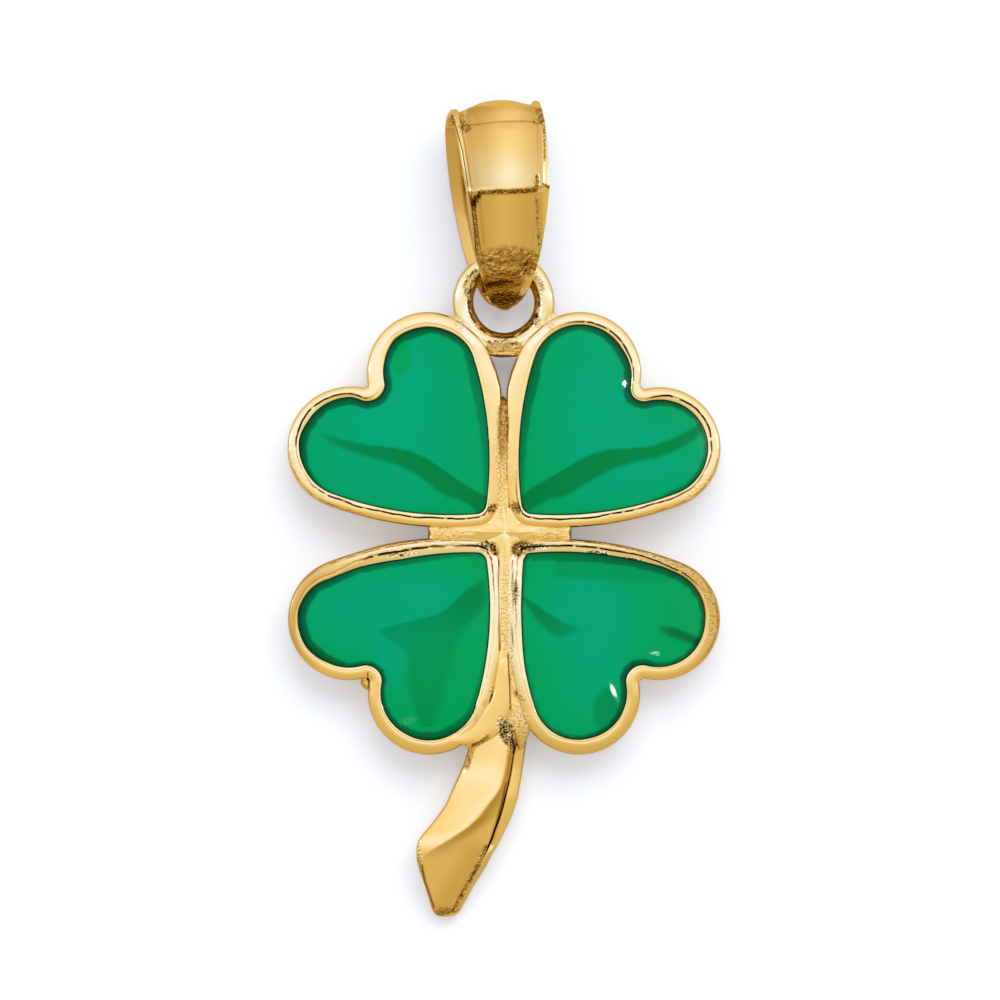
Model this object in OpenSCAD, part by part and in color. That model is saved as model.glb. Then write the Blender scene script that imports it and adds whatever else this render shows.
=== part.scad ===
// Four leaf clover pendant: a cast gold frame with four enamelled heart leaves, and a tapered bail on its ring.
// It lies on its flat back: +Y runs up to the bail, +Z is the front, and the origin is the middle of the back.

/* [Leaf] */
// Angle of the upper leaves above the cross line
upper_angle = 46.6; // [43:0.2:49]
// Angle of the lower leaves below the cross line
lower_angle = 47; // [43:0.2:49]
// Distance from the middle to the centre of the leaf's rounded tip
tip_at = 1.05; // [0.95:0.05:1.4]
// Radius of the leaf's rounded tip
tip_r = 0.28; // [0.2:0.01:0.35]
// Distance along the leaf from the middle to its lobes
lobe_at = 4.32; // [4:0.01:5]
// Half the distance between the two lobes of a leaf
lobe_apart = 1.4; // [1.2:0.01:1.5]
// Radius of a lobe
lobe_r = 1.24; // [1.1:0.01:1.4]
// Radius of the long flank between tip and lobe
side_r = 8.68; // [7:0.1:12]
// Radius of the notch between the lobes
notch_r = 0.41; // [0.3:0.01:0.6]

/* [Frame] */
// Width of the rounded rim round a leaf
rim_w = 0.34; // [0.3:0.01:0.45]
// Height of the rim's crown above the back
rim_top = 1.5; // [1.3:0.05:1.8]
// Height of the rounded crown itself
crown_h = 0.3; // [0.2:0.05:0.4]
// Bevel round the back edge
back_bevel = 0.08; // [0.04:0.01:0.12]
// Thickness of the plate under the enamel
plate_t = 0.45; // [0.35:0.05:0.6]
// Width of the web between two leaves
web_w = 0.6; // [0.4:0.05:0.7]
// Height of the web
web_top = 0.95; // [0.8:0.05:1.1]
// Reach of the web above the middle, between the upper leaves
web_up = 3.36; // [3:0.02:3.6]
// Reach of the web to the left
web_left = 1.95; // [1.6:0.05:2.2]
// Reach of the web to the right
web_right = 1.75; // [1.5:0.05:2.1]
// Width of the seam ridge along the web
seam_w = 0.14; // [0.1:0.01:0.2]
// Height of the seam ridge on the web
seam_h = 0.14; // [0.05:0.01:0.2]

/* [Stem] */
// Distance below the middle at which the stem's root begins
stem_from = 2.9; // [2.7:0.1:3.2]
// Length of the stem with its root
stem_len = 6.98; // [6:0.1:8]
// Greatest width of the stem
stem_w = 2.1; // [1.8:0.05:2.4]
// Greatest thickness of the stem
stem_t = 1.45; // [1.1:0.05:1.7]
// Sideways reach of the stem's curve
stem_sweep = 1.49; // [1:0.01:2]

/* [Enamel] */
// Gap between enamel and metal
enamel_gap = 0.02; // [0.01:0.01:0.04]
// Depth of the enamel's edge below the crown
enamel_sink = 0.36; // [0.3:0.02:0.5]
// Rise of the enamel's dome
enamel_rise = 0.34; // [0.2:0.02:0.45]

/* [Ring] */
// Radius of the hole in the ring
ring_hole_r = 0.77; // [0.74:0.01:0.9]
// Thickness of the ring's wire
ring_wire = 0.49; // [0.4:0.01:0.52]
// Height of the ring's wire above the back
ring_z = 0.92; // [0.9:0.01:1]
// Depth to which the ring is soldered into the lobes
ring_bite = 0.19; // [0.12:0.01:0.3]
// Width of the solder bridge below the ring
bridge_w = 0.9; // [0.7:0.05:1.1]
// Length of the solder bridge
bridge_l = 0.34; // [0.25:0.01:0.45]
// Thickness of the solder bridge
bridge_t = 0.7; // [0.5:0.05:0.9]

/* [Bail] */
// Length of the bail
bail_len = 5.36; // [5.2:0.02:6]
// Depth of the bail from back to front
bail_depth = 2.7; // [2.6:0.05:2.8]
// Width of the bail at its top
bail_w = 2.42; // [2.1:0.02:2.6]
// Wall thickness at the bail's side rims
bail_rim_t = 0.28; // [0.22:0.01:0.28]
// Wall thickness at the middle of the bail's panel
bail_panel_t = 0.4; // [0.3:0.01:0.42]
// Wall thickness in the grooves beside the panel
bail_groove_t = 0.18; // [0.14:0.01:0.2]
// Distance from the ring's top wire down to the bail's tip
bail_drop = 1.2; // [1.1:0.01:1.3]
// Turn of the bail about its own length
bail_yaw = 10; // [0:1:11]
// Lean of the bail's top to the left
bail_lean = 4.8; // [0:0.2:5]
// Place of the bail's tip to the right of the ring's middle
bail_side = 0.06; // [-0.1:0.02:0.12]

/* [Hidden] */
gold = "#E3B452";
green = "#00A468";
angles = [upper_angle, 180 - upper_angle, 180 + lower_angle, -lower_angle];
// Least radius left at the foot of the notch
least_r = 0.01;
// Steps along the tip, the flank, the lobe and the notch of half a leaf
steps = [3, 5, 9, 3];
// Steps across the rim's rounded crown
crown_steps = 6;
tip = [tip_at, 0];
lobe = [lobe_at, lobe_apart];

// Point where two circles meet, on the right of the way from the first to the second
function meet(c1, r1, c2, r2) =
    let (d = norm(c2 - c1), u = (c2 - c1) / d, a = (r1 * r1 - r2 * r2 + d * d) / (2 * d))
    c1 + u * a + sqrt(r1 * r1 - a * a) * [u.y, -u.x];
function heading(v) = atan2(v.y, v.x);
// Points of an arc without its last one
function arc(centre, r, from, to, n) =
    [for (i = [0:n - 1]) let (t = from + (to - from) * i / n) centre + r * [cos(t), sin(t)]];

side = meet(tip, side_r - tip_r, lobe, side_r - lobe_r);
// Half the outline of a leaf from tip to notch in tangent arcs, grown outwards by off
function half_leaf(off) =
    let (r = max(notch_r, off + least_r),
         notch = [lobe_at + sqrt(pow(lobe_r + r, 2) - pow(lobe_apart, 2)), 0],
         a1 = heading(tip - side),
         a2 = heading(lobe - side),
         a3 = heading(notch - lobe))
    concat(arc(tip, tip_r + off, 180, a1, steps[0]),
           arc(side, side_r + off, a1, a2, steps[1]),
           arc(lobe, lobe_r + off, a2, a3, steps[2]),
           arc(notch, r - off, a3 + 180, 180, steps[3]),
           [notch - [r - off, 0]]);
// The whole outline, anticlockwise
function leaf(off) =
    let (half = half_leaf(off), last = len(half) - 1)
    concat([for (p = half) [p.x, -p.y]], [for (i = [last - 1:-1:1]) half[i]]);
function at_height(outline, z) = [for (p = outline) [p.x, p.y, z]];
// The leaf's outline drawn in towards its middle by a share
function drawn_in(off, share) =
    let (middle = [(tip_at + lobe_at + lobe_r) / 2, 0])
    [for (p = leaf(off)) p + (middle - p) * share];

// Solid through rings of equally many points, anticlockwise seen from the last ring, with flat ends
module loft(rings) {
    n = len(rings[0]);
    last = len(rings) - 1;
    sides = [for (k = [0:last - 1], i = [0:n - 1])
        [k * n + i, (k + 1) * n + i, (k + 1) * n + (i + 1) % n, k * n + (i + 1) % n]];
    ends = [[for (i = [0:n - 1]) i], [for (i = [n - 1:-1:0]) last * n + i]];
    polyhedron([for (r = rings) each r], concat(sides, ends), convexity = 6);
}

// Closed band through sections that run round a loop
module loop(rings) {
    n = len(rings[0]);
    m = len(rings);
    faces = [for (k = [0:m - 1], i = [0:n - 1])
        let (b = (k + 1) % m, j = (i + 1) % n)
        [k * n + i, b * n + i, b * n + j, k * n + j]];
    polyhedron([for (r = rings) each r], faces, convexity = 6);
}

// One leaf of the frame: a plate with a bevelled back edge and a round-crowned rim
module leaf_cell() {
    foot = rim_top - crown_h;
    crown = [for (i = [0:crown_steps]) let (t = 180 * i / crown_steps)
        at_height(leaf(rim_w / 2 * (1 + cos(t))), foot + crown_h * sin(t))];
    loft(concat([at_height(leaf(rim_w - back_bevel), 0), at_height(leaf(rim_w), back_bevel)],
                crown,
                [at_height(leaf(0), plate_t)]));
}

// Domed enamel that fills one leaf
module enamel_fill() {
    edge = rim_top - enamel_sink;
    dome = [[0.12, 0.5], [0.3, 0.76], [0.55, 0.92], [0.82, 1]];
    loft(concat([at_height(leaf(-enamel_gap), plate_t + enamel_gap), at_height(leaf(-enamel_gap), edge)],
                [for (d = dome) at_height(drawn_in(-enamel_gap, d[0]), edge + enamel_rise * d[1])]));
}

// Web between the leaves with the cast seam along its top
module web(length) {
    half = web_w / 2;
    rotate([90, 0, 90]) linear_extrude(length)
        polygon([[-half, 0], [half, 0], [half, web_top - seam_h], [seam_w / 2, web_top],
                 [0, web_top + seam_h], [-seam_w / 2, web_top], [-half, web_top - seam_h]]);
}

// Rows of the stem: how far down it, its middle's sideways place, its width and its thickness, as shares
stem_rows = [[0, 0, 0.1, 0.62], [0.125, 0, 0.24, 0.7], [0.2, -0.02, 0.46, 0.78], [0.272, -0.06, 0.7, 0.82],
             [0.36, -0.13, 0.72, 0.84], [0.404, -0.146, 0.695, 0.88], [0.493, -0.266, 0.77, 0.96],
             [0.581, -0.42, 0.867, 1], [0.669, -0.644, 0.967, 1], [0.713, -0.775, 1, 0.98],
             [0.757, -0.843, 0.953, 0.96], [0.846, -0.938, 0.743, 0.88], [0.934, -0.98, 0.514, 0.72],
             [0.978, -0.99, 0.376, 0.58], [1, -1, 0.24, 0.45]];
// Section of the stem: across it and its height, as shares of its width and thickness
stem_section = [[-0.5, 0], [0.5, 0], [0.5, 0.36], [0.38, 0.42], [0.33, 0.66], [0.12, 0.9], [-0.1, 1],
                [-0.32, 0.92], [-0.46, 0.66], [-0.5, 0.36]];
module stem() {
    loft([for (r = stem_rows) [for (p = stem_section)
        [r[1] * stem_sweep + p.x * r[2] * stem_w, -stem_from - r[0] * stem_len, p.y * r[3] * stem_t]]]);
}

ring_r = ring_hole_r + ring_wire / 2;
ring_outer = ring_hole_r + ring_wire;
// Lobe of an upper leaf that lies beside the ring
near_lobe = [lobe_at * cos(upper_angle) - lobe_apart * sin(upper_angle),
             lobe_at * sin(upper_angle) + lobe_apart * cos(upper_angle)];
ring_y = near_lobe.y + sqrt(pow(lobe_r + rim_w + ring_outer - ring_bite, 2) - pow(near_lobe.x, 2));
wire_y = ring_y + ring_r;
module ring() {
    translate([0, ring_y, ring_z]) rotate_extrude($fn = 48) translate([ring_r, 0]) circle(ring_wire / 2, $fn = 16);
    translate([-bridge_w / 2, ring_y - ring_outer, ring_z - bridge_t / 2]) cube([bridge_w, bridge_l, bridge_t]);
}

module clover_frame() {
    color(gold) union() {
        for (a = angles) rotate(a) leaf_cell();
        translate([-web_left, 0, 0]) web(web_left + web_right);
        translate([0, -stem_from - stem_len * stem_rows[1][0], 0]) rotate(90)
            web(web_up + stem_from + stem_len * stem_rows[1][0]);
        stem();
        ring();
    }
}

module enamel(a) {
    color(green) rotate(a) enamel_fill();
}

// Rows of the bail's inner line from its tip up the back, over the top and down the front: how far from the tip,
// how far above the ring's wire and how wide, as shares of its length, depth and width
bail_rows = [[0.075, -0.04, 0.18], [0.082, -0.11, 0.32], [0.106, -0.155, 0.44], [0.159, -0.168, 0.56],
             [0.24, -0.168, 0.68], [0.374, -0.166, 0.78], [0.518, -0.162, 0.87], [0.547, -0.158, 0.885],
             [0.692, -0.115, 0.93], [0.817, -0.055, 0.95], [0.88, 0.01, 0.95], [0.914, 0.095, 0.94],
             [0.925, 0.205, 0.93], [0.917, 0.31, 0.93], [0.889, 0.4, 0.94], [0.843, 0.46, 0.96],
             [0.778, 0.505, 0.96], [0.653, 0.555, 0.925], [0.557, 0.57, 0.89], [0.523, 0.548, 0.875],
             [0.374, 0.4, 0.79], [0.24, 0.27, 0.69], [0.159, 0.19, 0.57], [0.106, 0.12, 0.45],
             [0.082, 0.05, 0.32]];
// Section of the band: share of half its width, and which of the three wall thicknesses it has there
bail_walls = [0, bail_rim_t, bail_groove_t, (bail_groove_t + bail_panel_t) / 2, bail_panel_t];
bail_section = [[-1, 0], [1, 0], [1, 1], [0.84, 1], [0.76, 2], [0.64, 3], [0.34, 4], [-0.34, 4], [-0.64, 3],
                [-0.76, 2], [-0.84, 1], [-1, 1]];
function unit(v) = v / norm(v);
module bail() {
    m = len(bail_rows);
    line = [for (r = bail_rows) [r[0] * bail_len, r[1] * bail_depth]];
    rings = [for (k = [0:m - 1])
        let (way = unit(line[(k + 1) % m] - line[(k + m - 1) % m]), out = [way.y, -way.x])
        [for (s = bail_section)
            let (p = line[k] + out * bail_walls[s[1]])
            [s[0] * bail_rows[k][2] * bail_w / 2, p.x, p.y]]];
    color(gold) translate([bail_side, wire_y - bail_drop, ring_z]) rotate([0, 0, bail_lean]) rotate([0, bail_yaw, 0])
        loop(rings);
}

clover_frame();
enamel(angles[0]);  // enamel_upper_right
enamel(angles[1]);  // enamel_upper_left
enamel(angles[2]);  // enamel_lower_left
enamel(angles[3]);  // enamel_lower_right
bail();
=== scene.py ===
import math

import bmesh
import bpy
from mathutils import Matrix, Vector, noise
from mathutils.kdtree import KDTree


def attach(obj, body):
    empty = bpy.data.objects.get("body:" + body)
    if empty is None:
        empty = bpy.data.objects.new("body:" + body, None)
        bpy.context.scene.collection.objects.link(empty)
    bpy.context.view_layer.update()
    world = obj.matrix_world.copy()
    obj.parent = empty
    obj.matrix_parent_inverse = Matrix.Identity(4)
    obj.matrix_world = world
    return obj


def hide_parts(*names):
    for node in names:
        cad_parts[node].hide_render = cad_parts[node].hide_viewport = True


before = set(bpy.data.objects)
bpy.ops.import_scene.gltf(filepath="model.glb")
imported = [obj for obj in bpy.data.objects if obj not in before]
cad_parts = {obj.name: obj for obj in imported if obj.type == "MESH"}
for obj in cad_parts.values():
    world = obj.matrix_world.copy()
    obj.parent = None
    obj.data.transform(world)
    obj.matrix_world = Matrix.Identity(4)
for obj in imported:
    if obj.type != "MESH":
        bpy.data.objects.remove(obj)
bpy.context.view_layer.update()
mm = 0.001


def addObject(name, data):
    made = bpy.data.objects.new(name, data)
    bpy.context.scene.collection.objects.link(made)
    return made


# Everything below is drawn in millimetres, +Y up to the bail and +Z out of the front, and scaled once at the end
print("camera")
view = {"middle": (-0.103, 0.846, 0.75), "away": 300, "width": 25.64, "sensor": 36}
cameraData = bpy.data.cameras.new("cameraAbove")
cameraData.sensor_width = view["sensor"]
cameraData.lens = view["sensor"] * view["away"] / view["width"]
cameraData.clip_start = 0.01
cameraData.clip_end = 10
camera = addObject("cameraAbove", cameraData)
camera.location = [c * mm for c in (view["middle"][0], view["middle"][1], view["middle"][2] + view["away"])]
bpy.context.scene.camera = camera


def linear(hexColour):
    # sRGB hex to the linear colour that sockets take
    parts = [int(hexColour[i:i + 2], 16) / 255 for i in (1, 3, 5)]
    return tuple(c / 12.92 if c <= 0.04045 else ((c + 0.055) / 1.055) ** 2.4 for c in parts) + (1.0,)


def addNode(tree, kind, settings=None, links=None):
    node = tree.nodes.new("ShaderNode" + kind)
    for name, value in (settings or {}).items():
        if isinstance(name, int) or name in node.inputs:
            node.inputs[name].default_value = value
        else:
            setattr(node, name, value)
    for name, source in (links or {}).items():
        tree.links.new(source, node.inputs[name])
    return node


def addNoise(tree, spot, size, detail):
    # Noise of a real size in millimetres, fixed to the piece
    return addNode(tree, "TexNoise", {"Scale": 1 / (size * mm), "Detail": detail}, {"Vector": spot}).outputs[0]


def newMaterial(name):
    made = bpy.data.materials.new(name)
    made.use_nodes = True
    made.node_tree.nodes.clear()
    return made, made.node_tree


print("light")
# What the metal mirrors, from the lower side of the picture (-1) to the upper (1): a warm room, then white scrims
studio = {
    "mirrored": [(-1.0, (0.58, 0.44, 0.20)), (-0.75, (0.68, 0.51, 0.22)), (-0.5, (0.71, 0.54, 0.24)),
                 (-0.28, (0.72, 0.55, 0.26)), (-0.15, (0.82, 0.66, 0.37)), (-0.06, (0.93, 0.80, 0.54)),
                 (0.0, (0.95, 0.84, 0.64)), (0.05, (0.98, 0.90, 0.76)), (0.1, (1.0, 0.95, 0.90)),
                 (0.18, (1.0, 0.99, 1.08)), (0.28, (1.0, 0.95, 0.92)), (0.45, (0.99, 0.85, 0.60)),
                 (0.7, (0.93, 0.77, 0.49)), (0.9, (0.86, 0.69, 0.40)), (1.0, (0.72, 0.56, 0.28))],
    "ambient": 0.82, "ambientColour": (1.0, 1.0, 1.0),
    "lamps": [
        {"name": "scrimAbove", "at": (40, 160, 250), "size": (240, 170), "radiance": 3.75, "metal": False},
        {"name": "stripLeft", "at": (-270, 60, 130), "size": (26, 160), "radiance": 2.2, "metal": True},
        {"name": "stripRight", "at": (270, 60, 130), "size": (26, 160), "radiance": 2.2, "metal": True},
        {"name": "spark", "at": (176, 37, 214), "size": (110, 110), "radiance": 420, "metal": True, "glassOnly": True},
    ],
    "metalLampColour": (0.85, 0.92, 1.15),
}
glassPieces = bpy.data.collections.new("glassPieces")
world = bpy.data.worlds.new("softStudio")
bpy.context.scene.world = world
world.use_nodes = True
world.cycles.sampling_method = "NONE"
sky = world.node_tree
sky.nodes.clear()
where = addNode(sky, "TexCoord")
axes = addNode(sky, "SeparateXYZ", links={0: where.outputs["Generated"]})
upDown = addNode(sky, "MapRange", {"From Min": -1.0, "From Max": 1.0}, {"Value": axes.outputs["Y"]})
sweep = addNode(sky, "ValToRGB", links={0: upDown.outputs[0]})
ramp = sweep.color_ramp
ramp.interpolation = "CARDINAL"
while len(ramp.elements) < len(studio["mirrored"]):
    ramp.elements.new(0.5)
for element, (height, colour) in zip(ramp.elements, studio["mirrored"]):
    element.position = (height + 1) / 2
    element.color = [c / 2 for c in colour] + [1.0]
mirrored = addNode(sky, "Background", {"Strength": 2.0}, {"Color": sweep.outputs[0]})
even = addNode(sky, "Background", {"Color": (*studio["ambientColour"], 1.0), "Strength": studio["ambient"]})
rays = addNode(sky, "LightPath")
both = addNode(sky, "MixShader",
               links={0: rays.outputs["Is Glossy Ray"], 1: even.outputs[0], 2: mirrored.outputs[0]})
addNode(sky, "OutputWorld", links={"Surface": both.outputs[0]})
for lamp in studio["lamps"]:
    data = bpy.data.lights.new(lamp["name"], "AREA")
    data.shape = "RECTANGLE"
    data.size, data.size_y = [s * mm for s in lamp["size"]]
    data.energy = lamp["radiance"] * math.pi * data.size * data.size_y
    if lamp["metal"]:
        data.color = studio["metalLampColour"]
    lampObject = addObject(lamp["name"], data)
    place = Vector(lamp["at"]) * mm
    lampObject.matrix_world = Matrix.Translation(place) @ place.to_track_quat("Z", "Y").to_matrix().to_4x4()
    lampObject.visible_glossy = lamp["metal"]
    lampObject.visible_diffuse = not lamp["metal"]
    lampObject.visible_camera = False
    if lamp.get("glassOnly"):
        data.color = (1, 1, 1)
        lampObject.light_linking.receiver_collection = glassPieces
bpy.context.scene.view_settings.view_transform = "Standard"

floorSettings = {"radius": 3000, "colour": "#D6DBE3", "mirroredColour": "#C9B379",
                 "glow": 0.27, "glowColour": "#F2F4FF"}
floorShape = bmesh.new()
bmesh.ops.create_circle(floorShape, cap_ends=True, segments=64, radius=floorSettings["radius"] * mm)
floorMesh = bpy.data.meshes.new("paleFloor")
floorShape.to_mesh(floorMesh)
floorShape.free()
floorObject = addObject("paleFloor", floorMesh)
floorMaterial, tree = newMaterial("litWhiteAcrylic")  # flat and white, with a soft faint shadow
rays = addNode(tree, "LightPath")
paper = addNode(tree, "Mix", {"data_type": "RGBA", 6: linear(floorSettings["colour"]),
                              7: linear(floorSettings["mirroredColour"])},
                {0: rays.outputs["Is Glossy Ray"]})
matt = addNode(tree, "BsdfDiffuse", links={"Color": paper.outputs[2]})
unmirrored = addNode(tree, "MapRange", {"To Min": floorSettings["glow"], "To Max": 0.0},
                     {"Value": rays.outputs["Is Glossy Ray"]})
glow = addNode(tree, "Emission", {"Color": linear(floorSettings["glowColour"])},
               {"Strength": unmirrored.outputs[0]})
lit = addNode(tree, "AddShader", links={0: matt.outputs[0], 1: glow.outputs[0]})
addNode(tree, "OutputMaterial", links={"Surface": lit.outputs[0]})
floorMesh.materials.append(floorMaterial)

print("materials")
goldPaints = ("grain", "pit", "shade", "paintedHighlight", "line", "crumple")
goldSettings = {
    "colour": "#FFE9AE", "paintedHighlight": "#FFFDEB", "dust": "#B98A30", "shade": "#BC9338", "darkLineEdge": "#8F5E18",
    "line": "#241603", "pitColour": "#4A300C", "roughness": 0.12, "grainRoughness": 0.26,
    "grainSize": 0.06, "crystalSize": 0.075, "crumpleSize": 0.17, "waviness": 1.4,
    "waveDepth": 0.35, "waveStrength": 0.08, "grainDepth": 0.055, "crumpleDepth": 0.22, "pitDepth": 0.13,
}


def goldMaterial():
    # 14k yellow gold, cast and hand polished: mirror bright on the flats, sandy where the mould's skin was left, with
    #                                          painted shade toning the recesses, pits and creases brown and painted
    #                                          highlights lightening the bevels and crests that should shine, so that
    #                                          the smooth and the rough places read at once
    made, tree = newMaterial("polishedCastGold")
    s = goldSettings
    spot = addNode(tree, "TexCoord").outputs["Object"]
    painted = {name: addNode(tree, "Attribute", {"attribute_name": name}).outputs["Fac"]
               for name in goldPaints}
    sand = addNoise(tree, spot, s["grainSize"], 2)
    folds = addNoise(tree, spot, s["crumpleSize"], 3)
    wave = addNoise(tree, spot, s["waviness"], 1)
    crystal = addNode(tree, "TexVoronoi", {"Scale": 1 / (s["crystalSize"] * mm)}, {"Vector": spot})
    polish = addNode(tree, "MapRange", {"To Min": s["roughness"], "To Max": s["grainRoughness"]},
                     {"Value": painted["grain"]})

    def ramped(value, bare, full, most):
        return addNode(tree, "MapRange", {"From Min": bare, "From Max": full, "To Max": most},
                       {"Value": value}).outputs[0]

    def where(key, pattern, bare, full, most):
        # The painted amount only where the pattern's value runs from bare to full
        return addNode(tree, "Math", {"operation": "MULTIPLY"},
                       {0: painted[key], 1: ramped(pattern, bare, full, most)}).outputs[0]

    # Painted highlight first: the gold lightened towards near white where the surface should shine
    colour = addNode(tree, "Mix", {"data_type": "RGBA", 6: linear(s["colour"]), 7: linear(s["paintedHighlight"])},
                     {0: painted["paintedHighlight"]}).outputs[2]
    # Then the tones over it: painted shade, dust in the sand, dark folds, dark pits, and dark lines with brown edges,
    # which are painted shade in creases and grooves and partly dark seams and cracks
    tones = [(painted["shade"], "shade"), (where("grain", sand, 0.5, 0.36, 0.75), "dust"),
             (where("crumple", folds, 0.56, 0.44, 0.8), "shade"), (where("pit", sand, 0.46, 0.6, 1), "pitColour"),
             (where("crumple", folds, 0.4, 0.32, 0.6), "line"), (ramped(painted["line"], 0, 0.5, 0.85), "darkLineEdge"),
             (ramped(painted["line"], 0.35, 1, 1), "line")]
    for amount, toned in tones:
        colour = addNode(tree, "Mix", {"data_type": "RGBA", 7: linear(s[toned])},
                         {0: amount, 6: colour}).outputs[2]
    normal = addNode(tree, "Bump", {"Distance": s["waveDepth"] * mm, "Strength": s["waveStrength"]}, {"Height": wave})
    for key, height in (("grain", sand), ("crumple", folds), ("pit", crystal.outputs["Distance"])):
        normal = addNode(tree, "Bump", {"Distance": s[key + "Depth"] * mm},
                         {"Height": height, "Strength": painted[key], "Normal": normal.outputs[0]})
    shader = addNode(tree, "BsdfPrincipled", {"Metallic": 1.0},
                     {"Base Color": colour, "Roughness": polish.outputs[0], "Normal": normal.outputs[0]})
    addNode(tree, "OutputMaterial", links={"Surface": shader.outputs[0]})
    return made


enamelSettings = {"green": "#009250", "cool": "#00966C", "band": "#00773F", "edge": "#003A1E", "roughness": 0.13,
                  "gloss": 0.035, "scratchesAndSheen": "#A8E3CC", "waviness": 0.9, "waveDepth": 0.05, "waveStrength": 0.12}


def enamelMaterial():
    # Fired glass enamel, poured and domed: wet and glossy, with painted dark bands standing in for reflections and a
    # painted shadow of the rim along its edge
    made, tree = newMaterial("firedGreenEnamel")
    s = enamelSettings
    colour = None
    # Over the green: cool places, painted dark reflections, the painted shadow of the rim, then light scratches with a
    # painted smear of light
    for key in ("cool", "band", "edge", "scratchesAndSheen"):
        amount = addNode(tree, "Attribute", {"attribute_name": key}).outputs["Fac"]
        mix = addNode(tree, "Mix", {"data_type": "RGBA", 6: linear(s["green"]), 7: linear(s[key])},
                      {0: amount, 6: colour} if colour else {0: amount})
        colour = mix.outputs[2]
    spot = addNode(tree, "TexCoord").outputs["Object"]
    ripple = addNode(tree, "Bump", {"Distance": s["waveDepth"] * mm, "Strength": s["waveStrength"]},
                     {"Height": addNoise(tree, spot, s["waviness"], 1)})
    shader = addNode(tree, "BsdfPrincipled",
                     {"Roughness": s["roughness"], "Specular IOR Level": s["gloss"]},
                     {"Base Color": colour, "Normal": ripple.outputs[0]})
    addNode(tree, "OutputMaterial", links={"Surface": shader.outputs[0]})
    return made


gold = goldMaterial()
enamel = enamelMaterial()

print("leaf outline")
# One heart in its own place: its tip near the origin, its notch out along +X
heart = {"tipAt": 1.05, "tipRadius": 0.28, "lobeAt": 4.32, "lobeApart": 1.4, "lobeRadius": 1.24,
         "flankRadius": 8.68, "notchRadius": 0.41}
leafTurns = {"UpperRight": 46.6, "UpperLeft": 180 - 46.6, "LowerLeft": 180 + 47, "LowerRight": -47}


def circlesMeet(first, firstRadius, second, secondRadius):
    way = second - first
    gap = way.length
    along = (firstRadius ** 2 - secondRadius ** 2 + gap ** 2) / (2 * gap)
    across = math.sqrt(firstRadius ** 2 - along ** 2)
    way.normalize()
    return first + way * along + across * Vector((way.y, -way.x, 0))


def heartOutline(bm, fine=1):
    # Half the heart is one vertex spun along four arcs that touch, and the mirror gives the other half
    h = heart
    tip = Vector((h["tipAt"], 0, 0))
    lobe = Vector((h["lobeAt"], h["lobeApart"], 0))
    flank = circlesMeet(tip, h["flankRadius"] - h["tipRadius"], lobe, h["flankRadius"] - h["lobeRadius"])
    reach = math.sqrt((h["lobeRadius"] + h["notchRadius"]) ** 2 - h["lobeApart"] ** 2)
    notch = Vector((h["lobeAt"] + reach, 0, 0))
    heading = lambda v: math.atan2(v.y, v.x)
    a1, a2, a3 = heading(tip - flank), heading(lobe - flank), heading(notch - lobe)
    arcs = [(tip, math.pi, a1, 8), (flank, a1, a2, 44), (lobe, a2, a3, 48), (notch, a3 + math.pi, math.pi, 12)]
    last = bm.verts.new(tip - Vector((h["tipRadius"], 0, 0)))
    for centre, start, end, steps in arcs:
        spun = bmesh.ops.spin(bm, geom=[last], cent=centre, axis=(0, 0, 1), angle=end - start,
                              steps=round(steps * fine), use_duplicate=False)
        last = [v for v in spun["geom_last"] if isinstance(v, bmesh.types.BMVert)][0]
    bmesh.ops.mirror(bm, geom=bm.verts[:] + bm.edges[:], axis="Y", merge_dist=1e-5)
    bmesh.ops.remove_doubles(bm, verts=bm.verts[:], dist=1e-4)


def rememberOutline(bm):
    # Each vertex of the outline keeps its place, its way outwards and how far round it is; extruding copies them
    home = bm.verts.layers.float_vector.new("home")
    out = bm.verts.layers.float_vector.new("out")
    share = bm.verts.layers.float.new("share")
    start = min(bm.verts, key=lambda v: (round(v.co.x, 4), abs(v.co.y)))
    ring, edge = [start], min(start.link_edges, key=lambda e: e.other_vert(start).co.y)
    while True:
        following = edge.other_vert(ring[-1])
        if following is start:
            break
        ring.append(following)
        edge = [e for e in following.link_edges if e is not edge][0]
    length = [0.0]
    for i, v in enumerate(ring):
        length.append(length[-1] + (ring[(i + 1) % len(ring)].co - v.co).length)
    for i, v in enumerate(ring):
        before = (v.co - ring[i - 1].co).normalized()
        after = (ring[(i + 1) % len(ring)].co - v.co).normalized()
        way = (before + after).normalized()
        v[home] = v.co
        v[out] = (way.y, -way.x, 0)
        v[share] = length[i] / length[-1]
    return home, out, share


def nextRing(bm, ring, place):
    # Extrudes a closed ring of edges and puts each new vertex where place(vertex) says
    made = bmesh.ops.extrude_edge_only(bm, edges=ring)["geom"]
    fresh = [e for e in made if isinstance(e, bmesh.types.BMEdge) and e.is_boundary]
    for v in {v for e in fresh for v in e.verts}:
        v.co = place(v)
    return fresh


def closeRing(bm, ring):
    bmesh.ops.contextual_create(bm, geom=ring)


def between(value, low, high):
    # Smooth step from 0 at low to 1 at high
    t = min(1.0, max(0.0, (value - low) / (high - low)))
    return t * t * (3 - 2 * t)


def alongRows(rows, at):
    # Straight interpolation in rows sorted by their first number
    for a, b in zip(rows, rows[1:]):
        if at <= b[0]:
            t = min(1.0, max(0.0, (at - a[0]) / (b[0] - a[0])))
            return [p + (q - p) * t for p, q in zip(a[1:], b[1:])]
    return list(rows[-1][1:])


def wobble(point, size, amount):
    return noise.noise(Vector(point) / size) * amount


crown = {"high": 1.5, "droop": 0.11, "highestAt": 2.7, "reach": 2.8}


def crownHeight(x, y):
    # The front is a little hollow in the middle and droops outwards, which decides what the rims mirror
    return crown["high"] - crown["droop"] * ((math.hypot(x, y) - crown["highestAt"]) / crown["reach"]) ** 2
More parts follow.
